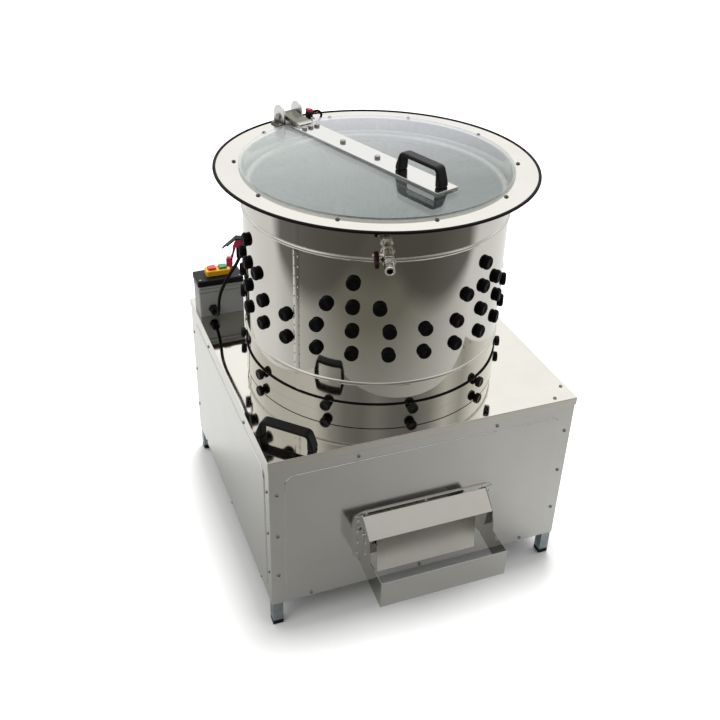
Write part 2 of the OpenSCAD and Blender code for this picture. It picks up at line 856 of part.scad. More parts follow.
module spray_ring() {
    color(bright)
    difference() {
        rotate_extrude() translate([spray_r, valve_z + 2]) difference() {
            circle(spray_tube_r);
            circle(spray_tube_r - 1.5);
        }
        valve_place() translate([0, 0, -drum_wall - spray_tube_r - 2]) cylinder(h = 20, r = pipe_r + fit);
    }
}

module valve_body() {
    pipe_in = drum_wall + spray_tube_r;
    color(steel)
    valve_place() difference() {
        union() {
            translate([0, 0, -pipe_in]) cylinder(h = pipe_len + pipe_in + eps, r = pipe_r);
            translate([0, 0, pipe_nut_out]) cylinder(h = pipe_nut_h, r = pipe_r + 5, $fn = 6);
            translate([0, 0, pipe_len]) cylinder(h = valve_len, r = valve_r);
            for (z = [pipe_len, pipe_len + valve_len - hex_h]) translate([0, 0, z])
                cylinder(h = hex_h, r = valve_r + 2.5, $fn = 6);
            translate([0, 0, valve_mid]) rotate([0, -90, 0]) {
                cylinder(h = stem_out - lever_t - 1, r = stem_r + 3);
                cylinder(h = stem_out + 3, r = stem_r);
            }
        }
        translate([0, 0, -pipe_in - eps]) cylinder(h = pipe_len + valve_len + 40, r = water_bore_r);
        translate([0, 0, pipe_len + valve_len - nipple_in])
            cylinder(h = nipple_in + eps, r = nipple_r - 1.5 + run);
    }
}

module valve_lever() {
    color([0.25, 0.05, 0.06])
    valve_place() translate([-stem_out, 0, valve_mid]) rotate([0, 90, 0]) difference() {
        union() {
            cylinder(h = lever_t, r = stem_r + 5);
            translate([-lever_len, -lever_w / 2, 0]) cube([lever_len, lever_w, lever_t]);
            translate([-lever_len, 0, 0]) cylinder(h = lever_t, r = lever_w / 2);
        }
        translate([0, 0, -eps]) cylinder(h = lever_t + 2 * eps, r = stem_r + run);
    }
}

module hose_nipple() {
    color(bright)
    valve_place() translate([0, 0, pipe_len + valve_len]) difference() {
        union() {
            translate([0, 0, -nipple_in]) cylinder(h = nipple_in + eps, r = nipple_r - 1.5);
            translate([0, 0, run]) cylinder(h = nipple_hex_h, r = nipple_r + 3, $fn = 6);
            cylinder(h = nipple_len, r = nipple_r);
        }
        translate([0, 0, -nipple_in - eps]) cylinder(h = nipple_len + nipple_in + 2 * eps, r = water_bore_r);
    }
}

module lid_place() rotate([0, 0, lid_turn]) children();

// Cylinder on the hinge axis
module hinge_bar(l, r) {
    translate([0, hinge_r, hinge_z]) rotate([0, 90, 0]) cylinder(h = l, r = r, center = true);
}

module lid_bores() {
    for (s = lid_bolt_spots) translate([s[0], s[1], lid_z - 20]) cylinder(h = 60, r = bolt_r + fit);
}

module lid_disc() {
    color([0.65, 0.7, 0.75, 0.6])
    lid_place() difference() {
        translate([0, 0, lid_z]) cylinder(h = lid_t, r = lid_r);
        lid_bores();
    }
}

module lid_strap() {
    color(steel)
    lid_place() difference() {
        union() {
            translate([-strap_w / 2, -strap_tip, strap_z]) cube([strap_w, strap_tip + strap_end, strap_t]);
            side_profile(ear_gap - 6) polygon([[strap_end - tongue, strap_top - eps],
                [strap_end - tongue, strap_top + 5], [hinge_r - 4, hinge_z + 6], [hinge_r, hinge_z - 5],
                [strap_end, strap_top - eps]]);
            hinge_bar(ear_gap - 1, knuckle_r);
        }
        hinge_bar(ear_gap + eps, pin_r + run);
        lid_bores();
    }
}

module lid_bolts() {
    under = 6;
    color(bright)
    lid_place() for (s = lid_bolt_spots) translate([s[0], s[1], 0]) union() {
        translate([0, 0, lid_z - under]) cylinder(h = under, r = bolt_r * 1.8, $fn = 6);
        translate([0, 0, lid_z - under]) cylinder(h = strap_top - lid_z + under + 3, r = handle_bolt_r);
        if (s[1] > -strap_tip / 4) translate([0, 0, strap_top]) cylinder(h = 5, r = bolt_r * 1.8, $fn = 6);
    }
}

// Bridge handle along X that stands on z = 0, with a blind hole in each foot where it is screwed from below
module bridge_handle(bored) {
    h = handle_len / 2;
    gap = h - foot_l;
    grip = handle_h - handle_bar;
    difference() {
        rotate([90, 0, 0]) linear_extrude(handle_w, center = true) difference() {
            polygon([[-h, 0], [-h, 8], [-h + handle_slope - 3, handle_h - 9], [-h + handle_slope + 7, handle_h],
                [h - handle_slope - 7, handle_h], [h - handle_slope + 3, handle_h - 9], [h, 8], [h, 0]]);
            polygon([[-gap, -eps], [-gap + 1, grip - 5], [-gap + 6, grip], [gap - 6, grip],
                [gap - 1, grip - 5], [gap, -eps]]);
        }
        if (bored) for (s = [-1, 1]) translate([s * (h - foot_l / 2), 0, -eps])
            cylinder(h = handle_bore + eps, r = handle_bolt_r + fit);
    }
}

module lid_handle() {
    color(black)
    lid_place() translate([0, -lid_handle_y, strap_top]) rotate([0, 0, 90]) bridge_handle(true);
}

module hinge_bracket() {
    color(bright)
    lid_place() difference() {
        union() {
            translate([-bracket_w / 2, hinge_r - ear_r, flange_top])
                cube([bracket_w, 2 * ear_r - 4, bracket_t]);
            for (s = [-1, 1]) translate([s * (ear_x + ear_t / 2), 0, 0]) side_profile(ear_t) union() {
                translate([hinge_r, flange_top + ear_up]) circle(ear_r);
                translate([hinge_r - ear_r, flange_top + bracket_t / 2])
                    square([2 * ear_r, ear_up - bracket_t / 2]);
            }
        }
        hinge_bar(bracket_w, pin_r + run);
    }
}

module hinge_pin() {
    half = ear_x + ear_t;
    color(steel)
    lid_place() translate([0, hinge_r, hinge_z]) rotate([0, 90, 0]) union() {
        cylinder(h = 2 * half + 2, r = pin_r, center = true);
        for (s = [-1, 1]) translate([0, 0, s * (half + 2.5)])
            cylinder(h = 4, r = pin_r + 3, center = true, $fn = 6);
    }
}

module small_screws() {
    color(steel) {
        lid_place() for (x = [-1, 1], y = [-1, 1])
            translate([x * (bracket_w / 2 - 6), hinge_r - 2 + y * (ear_r - 8), flange_top + bracket_t])
                screw_head();
        for (x = [-1, 1], y = [-1, 1])
            translate([-box_x + x * (box_w / 2 - 7), box_y + y * (box_d / 2 - 7), switch_z])
                screw_head(3.5, 2);
    }
}

module lid_switch() {
    color(black)
    lid_place() difference() {
        translate([switch_x - switch_box[0] / 2, switch_y, flange_top]) cube(switch_box);
        translate([switch_x, switch_y - eps, flange_top + plunger_up]) rotate([-90, 0, 0])
            cylinder(h = plunger_end - switch_y + plunger_travel + 2 * eps, r = plunger_r + run);
    }
}

module lid_switch_cap() {
    color([0.7, 0.08, 0.08])
    lid_place() translate([switch_x - switch_box[0] / 2, switch_y, flange_top + switch_box[2]])
        cube([switch_box[0], switch_box[1], cap_h]);
}

module switch_plunger() {
    color(steel)
    lid_place() translate([switch_x, plunger_tip, flange_top + plunger_up]) rotate([-90, 0, 0])
        cylinder(h = plunger_end - plunger_tip, r = plunger_r);
}

module upper_lead() {
    color(black)
    lead(upper_route, thin_r);
}

module lower_lead() {
    color(black)
    lead(lower_route, lead_r);
}

module lead_clips() {
    color(black)
    for (az = clip_azs) rotate([0, 0, az]) translate([0, -clip_ring, 0]) difference() {
        union() {
            translate([-clip_w / 2, 0, clip_z]) rotate([0, 90, 0])
                cylinder(h = clip_w, r = thin_r + clip_play + clip_wall);
            translate([-clip_w / 2, -clip_foot / 2, clip_z]) cube([clip_w, clip_foot, flange_z - clip_z]);
        }
        translate([-clip_w, 0, clip_z]) rotate([0, 90, 0]) cylinder(h = 2 * clip_w, r = thin_r + clip_play);
    }
}

module coupler_place() rotate([0, 0, coupler_az]) translate([0, -coupler_r, socket_z]) children();

module coupler_socket() {
    w = socket_w / 2;
    color([0.72, 0.1, 0.12])
    coupler_place() union() {
        side_profile(socket_w) polygon([[w, 0], [w, socket_h], [3 - w, socket_h], [-w - 1, socket_h - 5],
            [-w - 7, 3], [latch_w - latch_out, -29], [-latch_out, -29], [-latch_out, -latch_drop],
            [latch_w - latch_out, -latch_drop], [latch_w - latch_out, -33], [-w - 0.7, -3], [-w - 0.7, 0]]);
        translate([-foot_w / 2, 0, foot_up]) cube([foot_w, coupler_r - drum_r - foot_gap, foot_h]);
    }
}

module coupler_plug() {
    color(black)
    coupler_place() {
        translate([-plug_w / 2, -plug_w / 2, -plug_h]) cube([plug_w, plug_w, plug_h]);
        union() {
            translate([-cap[0] / 2, -cap[1] / 2, socket_h]) cube(cap);
            for (k = [0, 1]) translate([(k - 0.5) * (cap[0] - wing_w), 1 - cap[1] / 2, socket_h + cap[2]])
                rotate([wing_droop, 0, 0]) translate([-wing_w / 2, -wing_l[k], -wing_t])
                    cube([wing_w, wing_l[k], wing_t]);
        }
    }
}

module box_body() {
    color([0.78, 0.79, 0.78])
    translate([-box_x, box_y, top_z]) difference() {
        translate([-box_w / 2, -box_d / 2, 0]) cube([box_w, box_d, box_h]);
        translate([-box_w / 2 + box_wall, -box_d / 2 + box_wall, box_wall])
            cube([box_w - 2 * box_wall, box_d - 2 * box_wall, box_h]);
        translate([gland_x, -box_d / 2 + box_wall + eps, gland_up]) rotate([90, 0, 0])
            cylinder(h = box_wall + 2 * eps, r = gland_r - 3 + fit);
    }
}

module box_cover() {
    w = box_w + 2 * cover_over;
    d = box_d + 2 * cover_over;
    color(black)
    translate([-box_x, box_y, cover_z]) difference() {
        translate([-w / 2, -d / 2, 0]) cube([w, d, cover_h]);
        translate([-box_w / 2 + box_wall, -box_d / 2 + box_wall, -eps])
            cube([box_w - 2 * box_wall, box_d - 2 * box_wall, cover_h - box_wall + eps]);
    }
}

module switch_place() translate([-box_x, box_y + switch_back, 0]) children();

module switch_housing() {
    color([0.9, 0.65, 0.05])
    switch_place() difference() {
        translate([-switch_w / 2, -switch_d / 2, switch_z]) cube([switch_w, switch_d, switch_h]);
        for (s = [-1, 1]) translate([s * button_x - button_w / 2 - clear, -button_w / 2 - clear, pocket_z])
            cube([button_w + 2 * clear, button_w + 2 * clear, switch_h + eps]);
    }
}

module push_button(s) {
    switch_place() translate([s * button_x - button_w / 2, -button_w / 2, button_z - button_h])
        cube([button_w, button_w, button_h]);
}

module stop_button() {
    color([0.8, 0.1, 0.1])
    push_button(-1);
}

module start_button() {
    color([0.1, 0.5, 0.3])
    push_button(1);
}

module cable_gland() {
    color(black)
    translate(gland_at) rotate([90, 0, 0]) difference() {
        union() {
            translate([0, 0, -box_wall - gland_nut_h])
                cylinder(h = box_wall + gland_nut_h + eps, r = gland_r - 3);
            translate([0, 0, -box_wall - gland_nut_h]) cylinder(h = gland_nut_h, r = gland_r, $fn = 6);
            cylinder(h = gland_hex_h, r = gland_r + 1.5, $fn = 6);
            translate([0, 0, gland_hex_h - eps]) cylinder(h = gland_len - gland_hex_h + eps, r = gland_r - 1);
        }
        translate([0, 0, gland_len - gland_bore]) cylinder(h = gland_bore + eps, r = lead_r + fit);
    }
}

module carry_places() {
    for (s = [-1, 1]) translate([s * (base_w / 2 - handle_corner), s * (base_d / 2 - handle_corner), 0])
        rotate([0, 0, -45]) children();
}

module carry_handles() {
    color(black)
    carry_places() translate([0, 0, top_z]) bridge_handle(false);
}

// Frame of the chute: on the front panel's pressed field, above the floor
module chute_place() translate([0, field_y, 0]) children();

module chute_mount() {
    color(bright)
    chute_place() difference() {
        translate([0, 0, mount_z]) upright(sheet) rounded(mount_w, mount_h, mount_corner);
        translate([0, 4 * sheet, 0]) mouth_cut();
    }
}

module chute_body() {
    r = chute_reach;
    tab_h = mount_h - 16;
    color(steel)
    chute_place() difference() {
        union() {
            for (s = [-1, 1]) {
                translate([s * (chute_w / 2 - sheet / 2), 0, 0]) side_profile(sheet)
                    polygon([[-sheet, mount_top_z - 6], [-8, mount_top_z - 10], [-hood_y, hood_z],
                        [-60, chute_lip_z + 2], [-r, chute_lip_z], [-r, chute_low_z], [-40, chute_low_z + 12],
                        [-sheet, chute_low_z + 18]]);
                translate([s * (chute_w / 2 + tab_w / 2 - sheet / 2), -sheet, mount_z]) upright(sheet)
                    square([tab_w + sheet, tab_h], center = true);
            }
            translate([0, -r + sheet, chute_low_z + chute_lip_h / 2]) upright(sheet)
                square([chute_w, chute_lip_h], center = true);
        }
        translate([0, -flap_out, flap_z]) rotate([0, 90, 0])
            cylinder(h = chute_w + 10, r = rod_r + run, center = true);
    }
}

module chute_hood() {
    color(bright)
    chute_place() side_profile(2 * (chute_in - fit)) polygon([[-sheet, mount_top_z], [-2 * sheet, mount_top_z],
        [-2 * sheet, mount_top_z - hood_leg], [-hood_y - sheet / 2, hood_z],
        [-hood_y + sheet / 4, hood_z - sheet * 0.75],
        [-sheet, mount_top_z - hood_leg - hood_fold]]);
}

module chute_flap() {
    color(bright)
    chute_place() translate([0, -flap_out, flap_z]) rotate([-flap_lean, 0, 0]) difference() {
        union() {
            rotate([0, 90, 0]) cylinder(h = flap_w, r = barrel_r, center = true);
            translate([-flap_w / 2, -sheet / 2, -flap_len]) cube([flap_w, sheet, flap_len]);
        }
        rotate([0, 90, 0]) cylinder(h = flap_w + eps, r = rod_r + run, center = true);
    }
}

module flap_rod() {
    color(steel)
    chute_place() translate([0, -flap_out, flap_z]) rotate([0, 90, 0]) union() {
        cylinder(h = chute_w + 4, r = rod_r, center = true);
        for (s = [-1, 1]) translate([0, 0, s * (chute_w / 2 + 2)])
            cylinder(h = 3.6, r = rod_r + 2.5, center = true);
    }
}

module chute_screws() {
    color(steel)
    chute_place() {
        for (s = [-1, 1], z = tab_screws)
            translate([s * (chute_w / 2 + tab_w / 2 + 1), -2 * sheet, mount_z + z]) rotate([90, 0, 0])
                screw_head(3.5, 2);
        for (s = [-1, 0, 1]) translate([s * (chute_in - 8), -2 * sheet, mount_top_z - 5])
            rotate([90, 0, 0]) screw_head(3, 1.5);
        for (s = [-1, 1], z = cheek_screws) translate([s * chute_w / 2, -cheek_screw_out, chute_lip_z + z])
            rotate([0, s * 90, 0]) screw_head(3.5, 2);
    }
}

module feather_pan() {
    neck_top = mouth_z + mouth_h - sheet;
    neck_y = -frame_y - field_rise;
    lip_y = field_y - spout;
    color(bright)
    difference() {
        union() {
            side_profile(pan_w) polygon([[pan_y1, under_z], [pan_y1, pan_z(pan_y1)],
                [pan_y0, pan_z(pan_y0)], [pan_y0, under_z]]);
            side_profile(mouth_w) polygon([[pan_y0 + eps, neck_top], [pan_y0 + eps, pan_z(pan_y0 + eps)],
                [neck_y, pan_z(neck_y)], [neck_y, neck_top]]);
            side_profile(mouth_w - 2 * sheet) polygon([[neck_y + eps, pan_z(neck_y + eps)],
                [neck_y + eps, pan_z(neck_y + eps) + sheet], [lip_y, pan_z(lip_y) + sheet],
                [lip_y, pan_z(lip_y)]]);
        }
        side_profile(pan_w - 2 * sheet) polygon([[pan_y1 - sheet, under_z + eps],
            [pan_y1 - sheet, pan_z(pan_y1 - sheet) + sheet], [pan_y0 + sheet, pan_z(pan_y0 + sheet) + sheet],
            [pan_y0 + sheet, under_z + eps]]);
        side_profile(mouth_w - 2 * sheet) polygon([[pan_y0 + 2 * sheet, neck_top - sheet],
            [pan_y0 + 2 * sheet, pan_z(pan_y0 + 2 * sheet) + sheet], [lip_y - eps, pan_z(lip_y - eps) + sheet],
            [lip_y - eps, neck_top - sheet]]);
        cylinder(h = top_z, r = column_r + fit);
    }
}

module plate_spots() {
    for (ring = plate_rings, k = [0 : ring[0] - 1]) rotate([0, 0, k * 360 / ring[0]])
        translate([0, -ring[1], 0]) children();
}

module feather_plate() {
    color(steel)
    difference() {
        translate([0, 0, plate_z]) cylinder(h = plate_t, r = plate_r);
        plate_spots() translate([0, 0, plate_z - eps]) cylinder(h = plate_t + 2 * eps, r = finger_hole_r);
    }
}

module plate_fingers() {
    color(black)
    plate_spots() translate([0, 0, plate_z]) rotate([180, 0, 0]) finger(plate_t);
}

module drive_shaft() {
    color(steel)
    union() {
        translate([0, 0, pulley_z - 4]) cylinder(h = plate_z - pulley_z + 4, r = shaft_r);
        translate([0, 0, column_top + hub_gap]) cylinder(h = plate_z - column_top - hub_gap, r = hub_r);
    }
}

module bearings() {
    color(bright)
    for (z = [base_plate_z + 2, column_top - bearing_h]) translate([0, 0, z]) difference() {
        cylinder(h = bearing_h, r = bearing_r);
        translate([0, 0, -eps]) cylinder(h = bearing_h + 2 * eps, r = shaft_r + run);
    }
}

module bearing_column() {
    color(steel)
    difference() {
        translate([0, 0, base_plate_z]) cylinder(h = column_top - base_plate_z, r = column_r);
        translate([0, 0, base_plate_z - eps])
            cylinder(h = column_top - base_plate_z + 2 * eps, r = bearing_r + run);
    }
}

module drive_beams() {
    plate = [2 * (beam_x + beam_plate_side), beam_plate_l, beam_plate_t];
    color(steel)
    difference() {
        union() {
            for (x = [-1, 1]) translate([x * beam_x, 0, beam_z + tube / 2]) rotate([0, 0, 90])
                frame_tube(2 * frame_y);
            for (y = [0, motor_y]) translate([-plate[0] / 2, y - plate[1] / 2, beam_top]) cube(plate);
        }
        for (y = [0, motor_y]) translate([0, y, beam_z]) cylinder(h = 60, r = shaft_r + 3);
    }
}

// Grooved pulley whose lower face lies on z = 0
module pulley(r, bore) {
    rotate_extrude() polygon([[bore, 0], [r, 0], [r, groove_rim], [r - groove, groove_foot],
        [r - groove, pulley_h - groove_foot], [r, pulley_h - groove_rim], [r, pulley_h], [bore, pulley_h]]);
}

module drive_pulley() {
    color(steel)
    translate([0, 0, pulley_z]) pulley(big_r, shaft_r + run);
}

// Outline around both pulleys with straight runs between them
module belt_loop(r1, r2) {
    rise = (r1 - r2) / motor_y;
    side = sqrt(1 - rise * rise);
    circle(r1);
    translate([0, motor_y]) circle(r2);
    polygon([[r1 * side, r1 * rise], [r2 * side, motor_y + r2 * rise], [-r2 * side, motor_y + r2 * rise],
        [-r1 * side, r1 * rise]]);
}

module drive_belt() {
    inner = clear - groove;
    color(black)
    translate([0, 0, pulley_z + groove_foot + clear]) linear_extrude(belt_w) difference() {
        belt_loop(big_r + inner + belt_t, small_r + inner + belt_t);
        belt_loop(big_r + inner, small_r + inner);
    }
}

module motor_pulley() {
    color(steel)
    translate([0, motor_y, pulley_z]) union() {
        pulley(small_r, motor_shaft_r - 0.5);
        translate([0, 0, -pulley_gap]) cylinder(h = motor_z - pulley_z + rotor_in, r = motor_shaft_r);
    }
}

module motor_body() {
    color([0.35, 0.38, 0.42])
    translate([0, motor_y, motor_z]) difference() {
        union() {
            cylinder(h = motor_flange_h, r = motor_r + motor_flange_w);
            cylinder(h = motor_h, r = motor_r);
            translate([0, 0, motor_h - motor_cap_h]) cylinder(h = motor_cap_h, r = motor_r + motor_cap_w);
            translate([-terminal_box[0] / 2, -motor_r - terminal_out, terminal_up]) cube(terminal_box);
        }
        translate([0, 0, -eps]) cylinder(h = rotor_in + 2 * eps, r = motor_shaft_r + run);
    }
}

base_frame();
foot_pads();
top_plate();
front_panel();
back_panel();
left_panel();
right_panel();
cabinet_screws();
base_collar();
seam_gasket();
clamp_knobs();
drum_shell();
drum_rivets();
drum_fingers();
flange_ring();
flange_trim();
flange_screws();
spray_ring();
valve_body();
valve_lever();
hose_nipple();
lid_disc();
lid_strap();
lid_bolts();
lid_handle();
hinge_bracket();
hinge_pin();
small_screws();
lid_switch();
lid_switch_cap();
switch_plunger();
upper_lead();
lower_lead();
lead_clips();
coupler_socket();
coupler_plug();
box_body();
box_cover();
switch_housing();
start_button();
stop_button();
cable_gland();
carry_handles();
chute_mount();
chute_body();
chute_hood();
chute_flap();
flap_rod();
chute_screws();
feather_pan();
feather_plate();
plate_fingers();
drive_shaft();
bearings();
bearing_column();
drive_beams();
drive_pulley();
drive_belt();
motor_pulley();
motor_body();
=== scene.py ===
"""Dresses the poultry plucker: steel drum on a square cabinet, hinged clear lid, water valve, control box, chute."""
import json
import math

import bmesh
import bpy
from bpy.props import FloatProperty, FloatVectorProperty, IntProperty, PointerProperty
from bpy.types import Operator, Panel, PropertyGroup
from mathutils import Matrix, Vector

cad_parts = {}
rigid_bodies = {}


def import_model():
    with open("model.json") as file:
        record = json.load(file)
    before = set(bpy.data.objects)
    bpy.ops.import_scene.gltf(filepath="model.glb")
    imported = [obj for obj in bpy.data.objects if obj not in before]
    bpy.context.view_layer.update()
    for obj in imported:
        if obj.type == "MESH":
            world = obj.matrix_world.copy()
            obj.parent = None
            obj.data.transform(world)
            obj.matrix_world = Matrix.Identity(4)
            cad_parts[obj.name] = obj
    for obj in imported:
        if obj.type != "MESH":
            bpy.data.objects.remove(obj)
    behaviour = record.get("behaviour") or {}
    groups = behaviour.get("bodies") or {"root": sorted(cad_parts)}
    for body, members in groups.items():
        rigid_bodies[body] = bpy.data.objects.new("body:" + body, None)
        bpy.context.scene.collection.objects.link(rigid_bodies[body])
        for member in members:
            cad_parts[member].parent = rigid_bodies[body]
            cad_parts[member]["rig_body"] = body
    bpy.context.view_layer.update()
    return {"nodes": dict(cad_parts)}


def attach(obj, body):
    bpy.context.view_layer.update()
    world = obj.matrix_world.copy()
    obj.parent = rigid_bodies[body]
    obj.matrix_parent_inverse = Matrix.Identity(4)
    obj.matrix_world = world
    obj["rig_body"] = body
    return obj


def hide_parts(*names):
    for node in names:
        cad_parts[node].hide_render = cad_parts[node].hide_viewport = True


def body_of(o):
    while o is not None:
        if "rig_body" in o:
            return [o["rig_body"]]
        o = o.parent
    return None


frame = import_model()
NODES = frame["nodes"]
MM = 0.001

bl_info = {
    "name": "Poultry plucker dresser",
    "version": (1, 0, 0),
    "blender": (4, 5, 0),
    "location": "3D View > Sidebar > Plucker",
    "description": "Builds the looks of a drum poultry plucker over its packed solids",
    "category": "Object",
}


# Sizes and colours that a user would change

def span(name, words, mm):
    return FloatProperty(name=name, description=words, default=mm * MM, unit="LENGTH", precision=4)


def tint(name, words, colour):
    return FloatVectorProperty(name=name, description=words, default=colour, size=3, subtype="COLOR", min=0, max=1)


def share(name, words, value):
    return FloatProperty(name=name, description=words, default=value, subtype="FACTOR", min=0, max=1)


def angle(name, words, degrees):
    return FloatProperty(name=name, description=words, default=math.radians(degrees), subtype="ANGLE")


def number(name, words, value, unit="NONE"):
    return FloatProperty(name=name, description=words, default=value, unit=unit)


def whole(name, words, value):
    return IntProperty(name=name, description=words, default=value)


class PluckerStage(PropertyGroup):
    eye: FloatVectorProperty(name="Camera place", description="Where the camera stands", size=3, unit="LENGTH",
                             default=(-0.76725, -1.83270, 1.72706))
    lens: number("Lens", "Focal length on a 36 mm sensor, in millimetres", 47.32)
    yaw: angle("Yaw", "Camera heading from +Y towards +X", 22.054)
    pitch: angle("Pitch", "How far the camera looks down", 32.962)
    roll: angle("Roll", "Camera tilt about its own axis", 1.943)
    floor: tint("Floor", "Colour of the studio floor", (0.93, 0.93, 0.925))
    key_power: number("Key light", "Power of the softbox behind", 95, "POWER")
    fill_power: number("Fill light", "Power of the softbox in front", 14, "POWER")
    # Painted reflection: past these reaches ahead and to the sides the steel mirrors the floor dark, while the camera
    # still sees it pale.
    reflected_dark_ahead: span("Paper end", "How far the pale floor paper runs towards the camera", 1690)
    reflected_dark_aside: span("Paper side", "How far the pale floor paper runs to either side of the camera", 1520)
    sky: number("Overhead glow", "Brightness of the overhead diffuser", 1.3)


class PluckerSteel(PropertyGroup):
    mirror: tint("Polished steel", "Colour of the mirror polished sheet", (0.66, 0.643, 0.59))
    mirror_haze: share("Polish haze", "Roughness of the polished sheet", 0.05)
    brushed: tint("Brushed steel", "Colour of the brushed panels", (0.645, 0.64, 0.612))
    brushed_haze: share("Brushed haze", "Roughness of the brushed panels", 0.09)
    fold: span("Fold radius", "Rounding of the folded sheet edges", 1.2)
    edge: span("Edge rounding", "Rounding of cut sheet edges", 0.5)


class PluckerDrum(PropertyGroup):
    radius: span("Drum radius", "Outside radius of the drum", 300)
    wall: span("Drum wall", "Thickness of the drum sheet", 2)
    foot: span("Drum foot", "Height of the drum's lower edge", 486)
    top: span("Drum top", "Height of the rim", 956)
    rim: span("Rim radius", "Outside radius of the turned rim", 326)
    bead: span("Bead radius", "Radius of the two rolled beads", 6)
    low_bead: span("Low bead", "Height of the lower bead", 571)
    high_bead: span("High bead", "Height of the upper bead", 871)
    lap: number("Lap bearing", "Bearing of the lap seam, in degrees", -54.5)
    rivets: whole("Rivets", "Rivets in each line of the lap seam", 12)


class PluckerFingers(PropertyGroup):
    head: span("Head radius", "Radius of a finger's outer head", 15.5)
    head_height: span("Head height", "How far a head stands out of the drum", 10.8)
    shank: span("Shank length", "Length of a finger inside the drum", 97)
    root: span("Root radius", "Radius of the shank at the drum", 11)
    tip: span("Tip radius", "Radius of the shank at its tip", 7.5)
    ridges: whole("Ridges", "Ridges along a finger's shank", 9)


class PluckerKnobs(PropertyGroup):
    radius: span("Knob radius", "Radius of a clamp knob", 12.5)
    height: span("Knob height", "Length of a clamp knob", 14)
    flutes: whole("Flutes", "Grip flutes round a knob", 18)
    count: whole("Knobs", "Clamp knobs round the collar", 10)


class PluckerLid(PropertyGroup):
    radius: span("Lid radius", "Radius of the clear lid", 304)
    thick: span("Lid thickness", "Thickness of the clear lid", 6)
    foot: span("Lid height", "Height of the lid's underside", 958.5)
    turn: angle("Lid turn", "Turn of the hinge line about the drum", 19)
    tone: tint("Lid tone", "Colour of the hazy clear plastic", (0.075, 0.09, 0.085))
    # Painted reflection: the lighter tone the lid shades to at its far side.
    far_reflection_tone: tint("Lid far tone", "Colour that the lid shades to at its far side", (0.54, 0.567, 0.553))
    cover: share("Lid cover", "How much of what lies below the lid is hidden by each face", 0.38)


class PluckerPlastics(PropertyGroup):
    black: tint("Black plastic", "Colour of handles, knobs and cover", (0.0042, 0.0042, 0.0047))
    rubber: tint("Black rubber", "Colour of fingers, gasket and leads", (0.0032, 0.0032, 0.0034))
    red: tint("Red plastic", "Colour of the stop button", (0.62, 0.05, 0.052))
    dark_red: tint("Dark red plastic", "Colour of the valve lever", (0.02, 0.003, 0.0045))
    crimson: tint("Crimson plastic", "Colour of the coupler and the lid switch's cap", (0.50, 0.02, 0.075))
    green: tint("Green plastic", "Colour of the start button", (0.045, 0.28, 0.12))
    yellow: tint("Yellow plastic", "Colour of the push button housing", (0.82, 0.43, 0.012))
    grey: tint("Grey plastic", "Colour of the control box", (0.36, 0.365, 0.36))


class PluckerHandle(PropertyGroup):
    length: span("Handle length", "Length of a bridge handle", 137)
    height: span("Handle height", "Height of a bridge handle", 43)
    width: span("Handle width", "Width of a bridge handle", 26)
    bar: span("Bar thickness", "Thickness of the bar", 9)
    foot: span("Foot length", "Length of a handle's foot", 14)
    slope: span("Slope", "How far the uprights lean in", 12)


GROUPS = {"plucker_stage": PluckerStage, "plucker_steel": PluckerSteel, "plucker_drum": PluckerDrum,
          "plucker_fingers": PluckerFingers, "plucker_knobs": PluckerKnobs, "plucker_lid": PluckerLid,
          "plucker_plastics": PluckerPlastics, "plucker_handle": PluckerHandle}


# Node trees: maths as plain sums on wrapped sockets

class Wire:
    """An output socket, so that sums on it add Math nodes."""

    def __init__(self, nodes, socket):
        self.nodes, self.socket = nodes, socket

    def __add__(self, other):
        return self.nodes.math("ADD", self, other)

    def __radd__(self, other):
        return self.nodes.math("ADD", other, self)

    def __sub__(self, other):
        return self.nodes.math("SUBTRACT", self, other)

    def __rsub__(self, other):
        return self.nodes.math("SUBTRACT", other, self)

    def __mul__(self, other):
        return self.nodes.math("MULTIPLY", self, other)

    def __rmul__(self, other):
        return self.nodes.math("MULTIPLY", other, self)


class Nodes:
    """A node tree and the few kinds of node that it is built from."""

    def __init__(self, tree):
        self.tree = tree
        tree.nodes.clear()

    def node(self, kind, settings=None, sockets=None, out=0):
        """A new node with its settings, where stops are those of a colour ramp, and then its sockets."""
        made = self.tree.nodes.new(kind)
        for key, value in (settings or {}).items():
            if key == "stops":
                stops = made.color_ramp.elements
                while len(stops) < len(value):
                    stops.new(0.5)
                for stop, (place, colour) in zip(stops, value):
                    stop.position, stop.color = place, colour
            else:
                setattr(made, key, value)
        for key, value in (sockets or {}).items():
            self.feed(made.inputs[key], value)
        return Wire(self, made.outputs[out]) if made.outputs else None

    def feed(self, socket, value):
        if isinstance(value, Wire):
            self.tree.links.new(value.socket, socket)
        else:
            socket.default_value = value

    def math(self, operation, one, two=0.0):
        return self.node("ShaderNodeMath", {"operation": operation}, {0: one, 1: two})

    def vector(self, operation, one, two=(0, 0, 0), out=0):
        return self.node("ShaderNodeVectorMath", {"operation": operation}, {0: one, 1: two}, out)

    def spot(self, kind="Object"):
        return self.node("ShaderNodeTexCoord", out=kind)

    def along(self, way, kind="Object"):
        """How far a point lies along a direction."""
        return self.vector("DOT_PRODUCT", self.spot(kind), way, "Value")

    def noise(self, scale, detail=2.0, stretch=(1, 1, 1), rough=0.5):
        where = self.node("ShaderNodeMapping", {"vector_type": "POINT"}, {"Vector": self.spot(), "Scale": stretch})
        return self.node("ShaderNodeTexNoise", {"noise_dimensions": "3D"},
                         {"Vector": where, "Scale": scale, "Detail": detail, "Roughness": rough})

    def ramp(self, wire, low, high, top=1.0, curve="LINEAR"):
        return self.node("ShaderNodeMapRange", {"clamp": True, "interpolation_type": curve},
                         {"Value": wire, "From Min": low, "From Max": high, "To Max": top})

    def mix(self, part, one, two):
        return self.node("ShaderNodeMix", {"data_type": "RGBA"}, {0: part, 6: one, 7: two}, out=2)

    def bump(self, height, depth):
        return self.node("ShaderNodeBump", sockets={"Height": height, "Distance": depth, "Strength": 1.0})


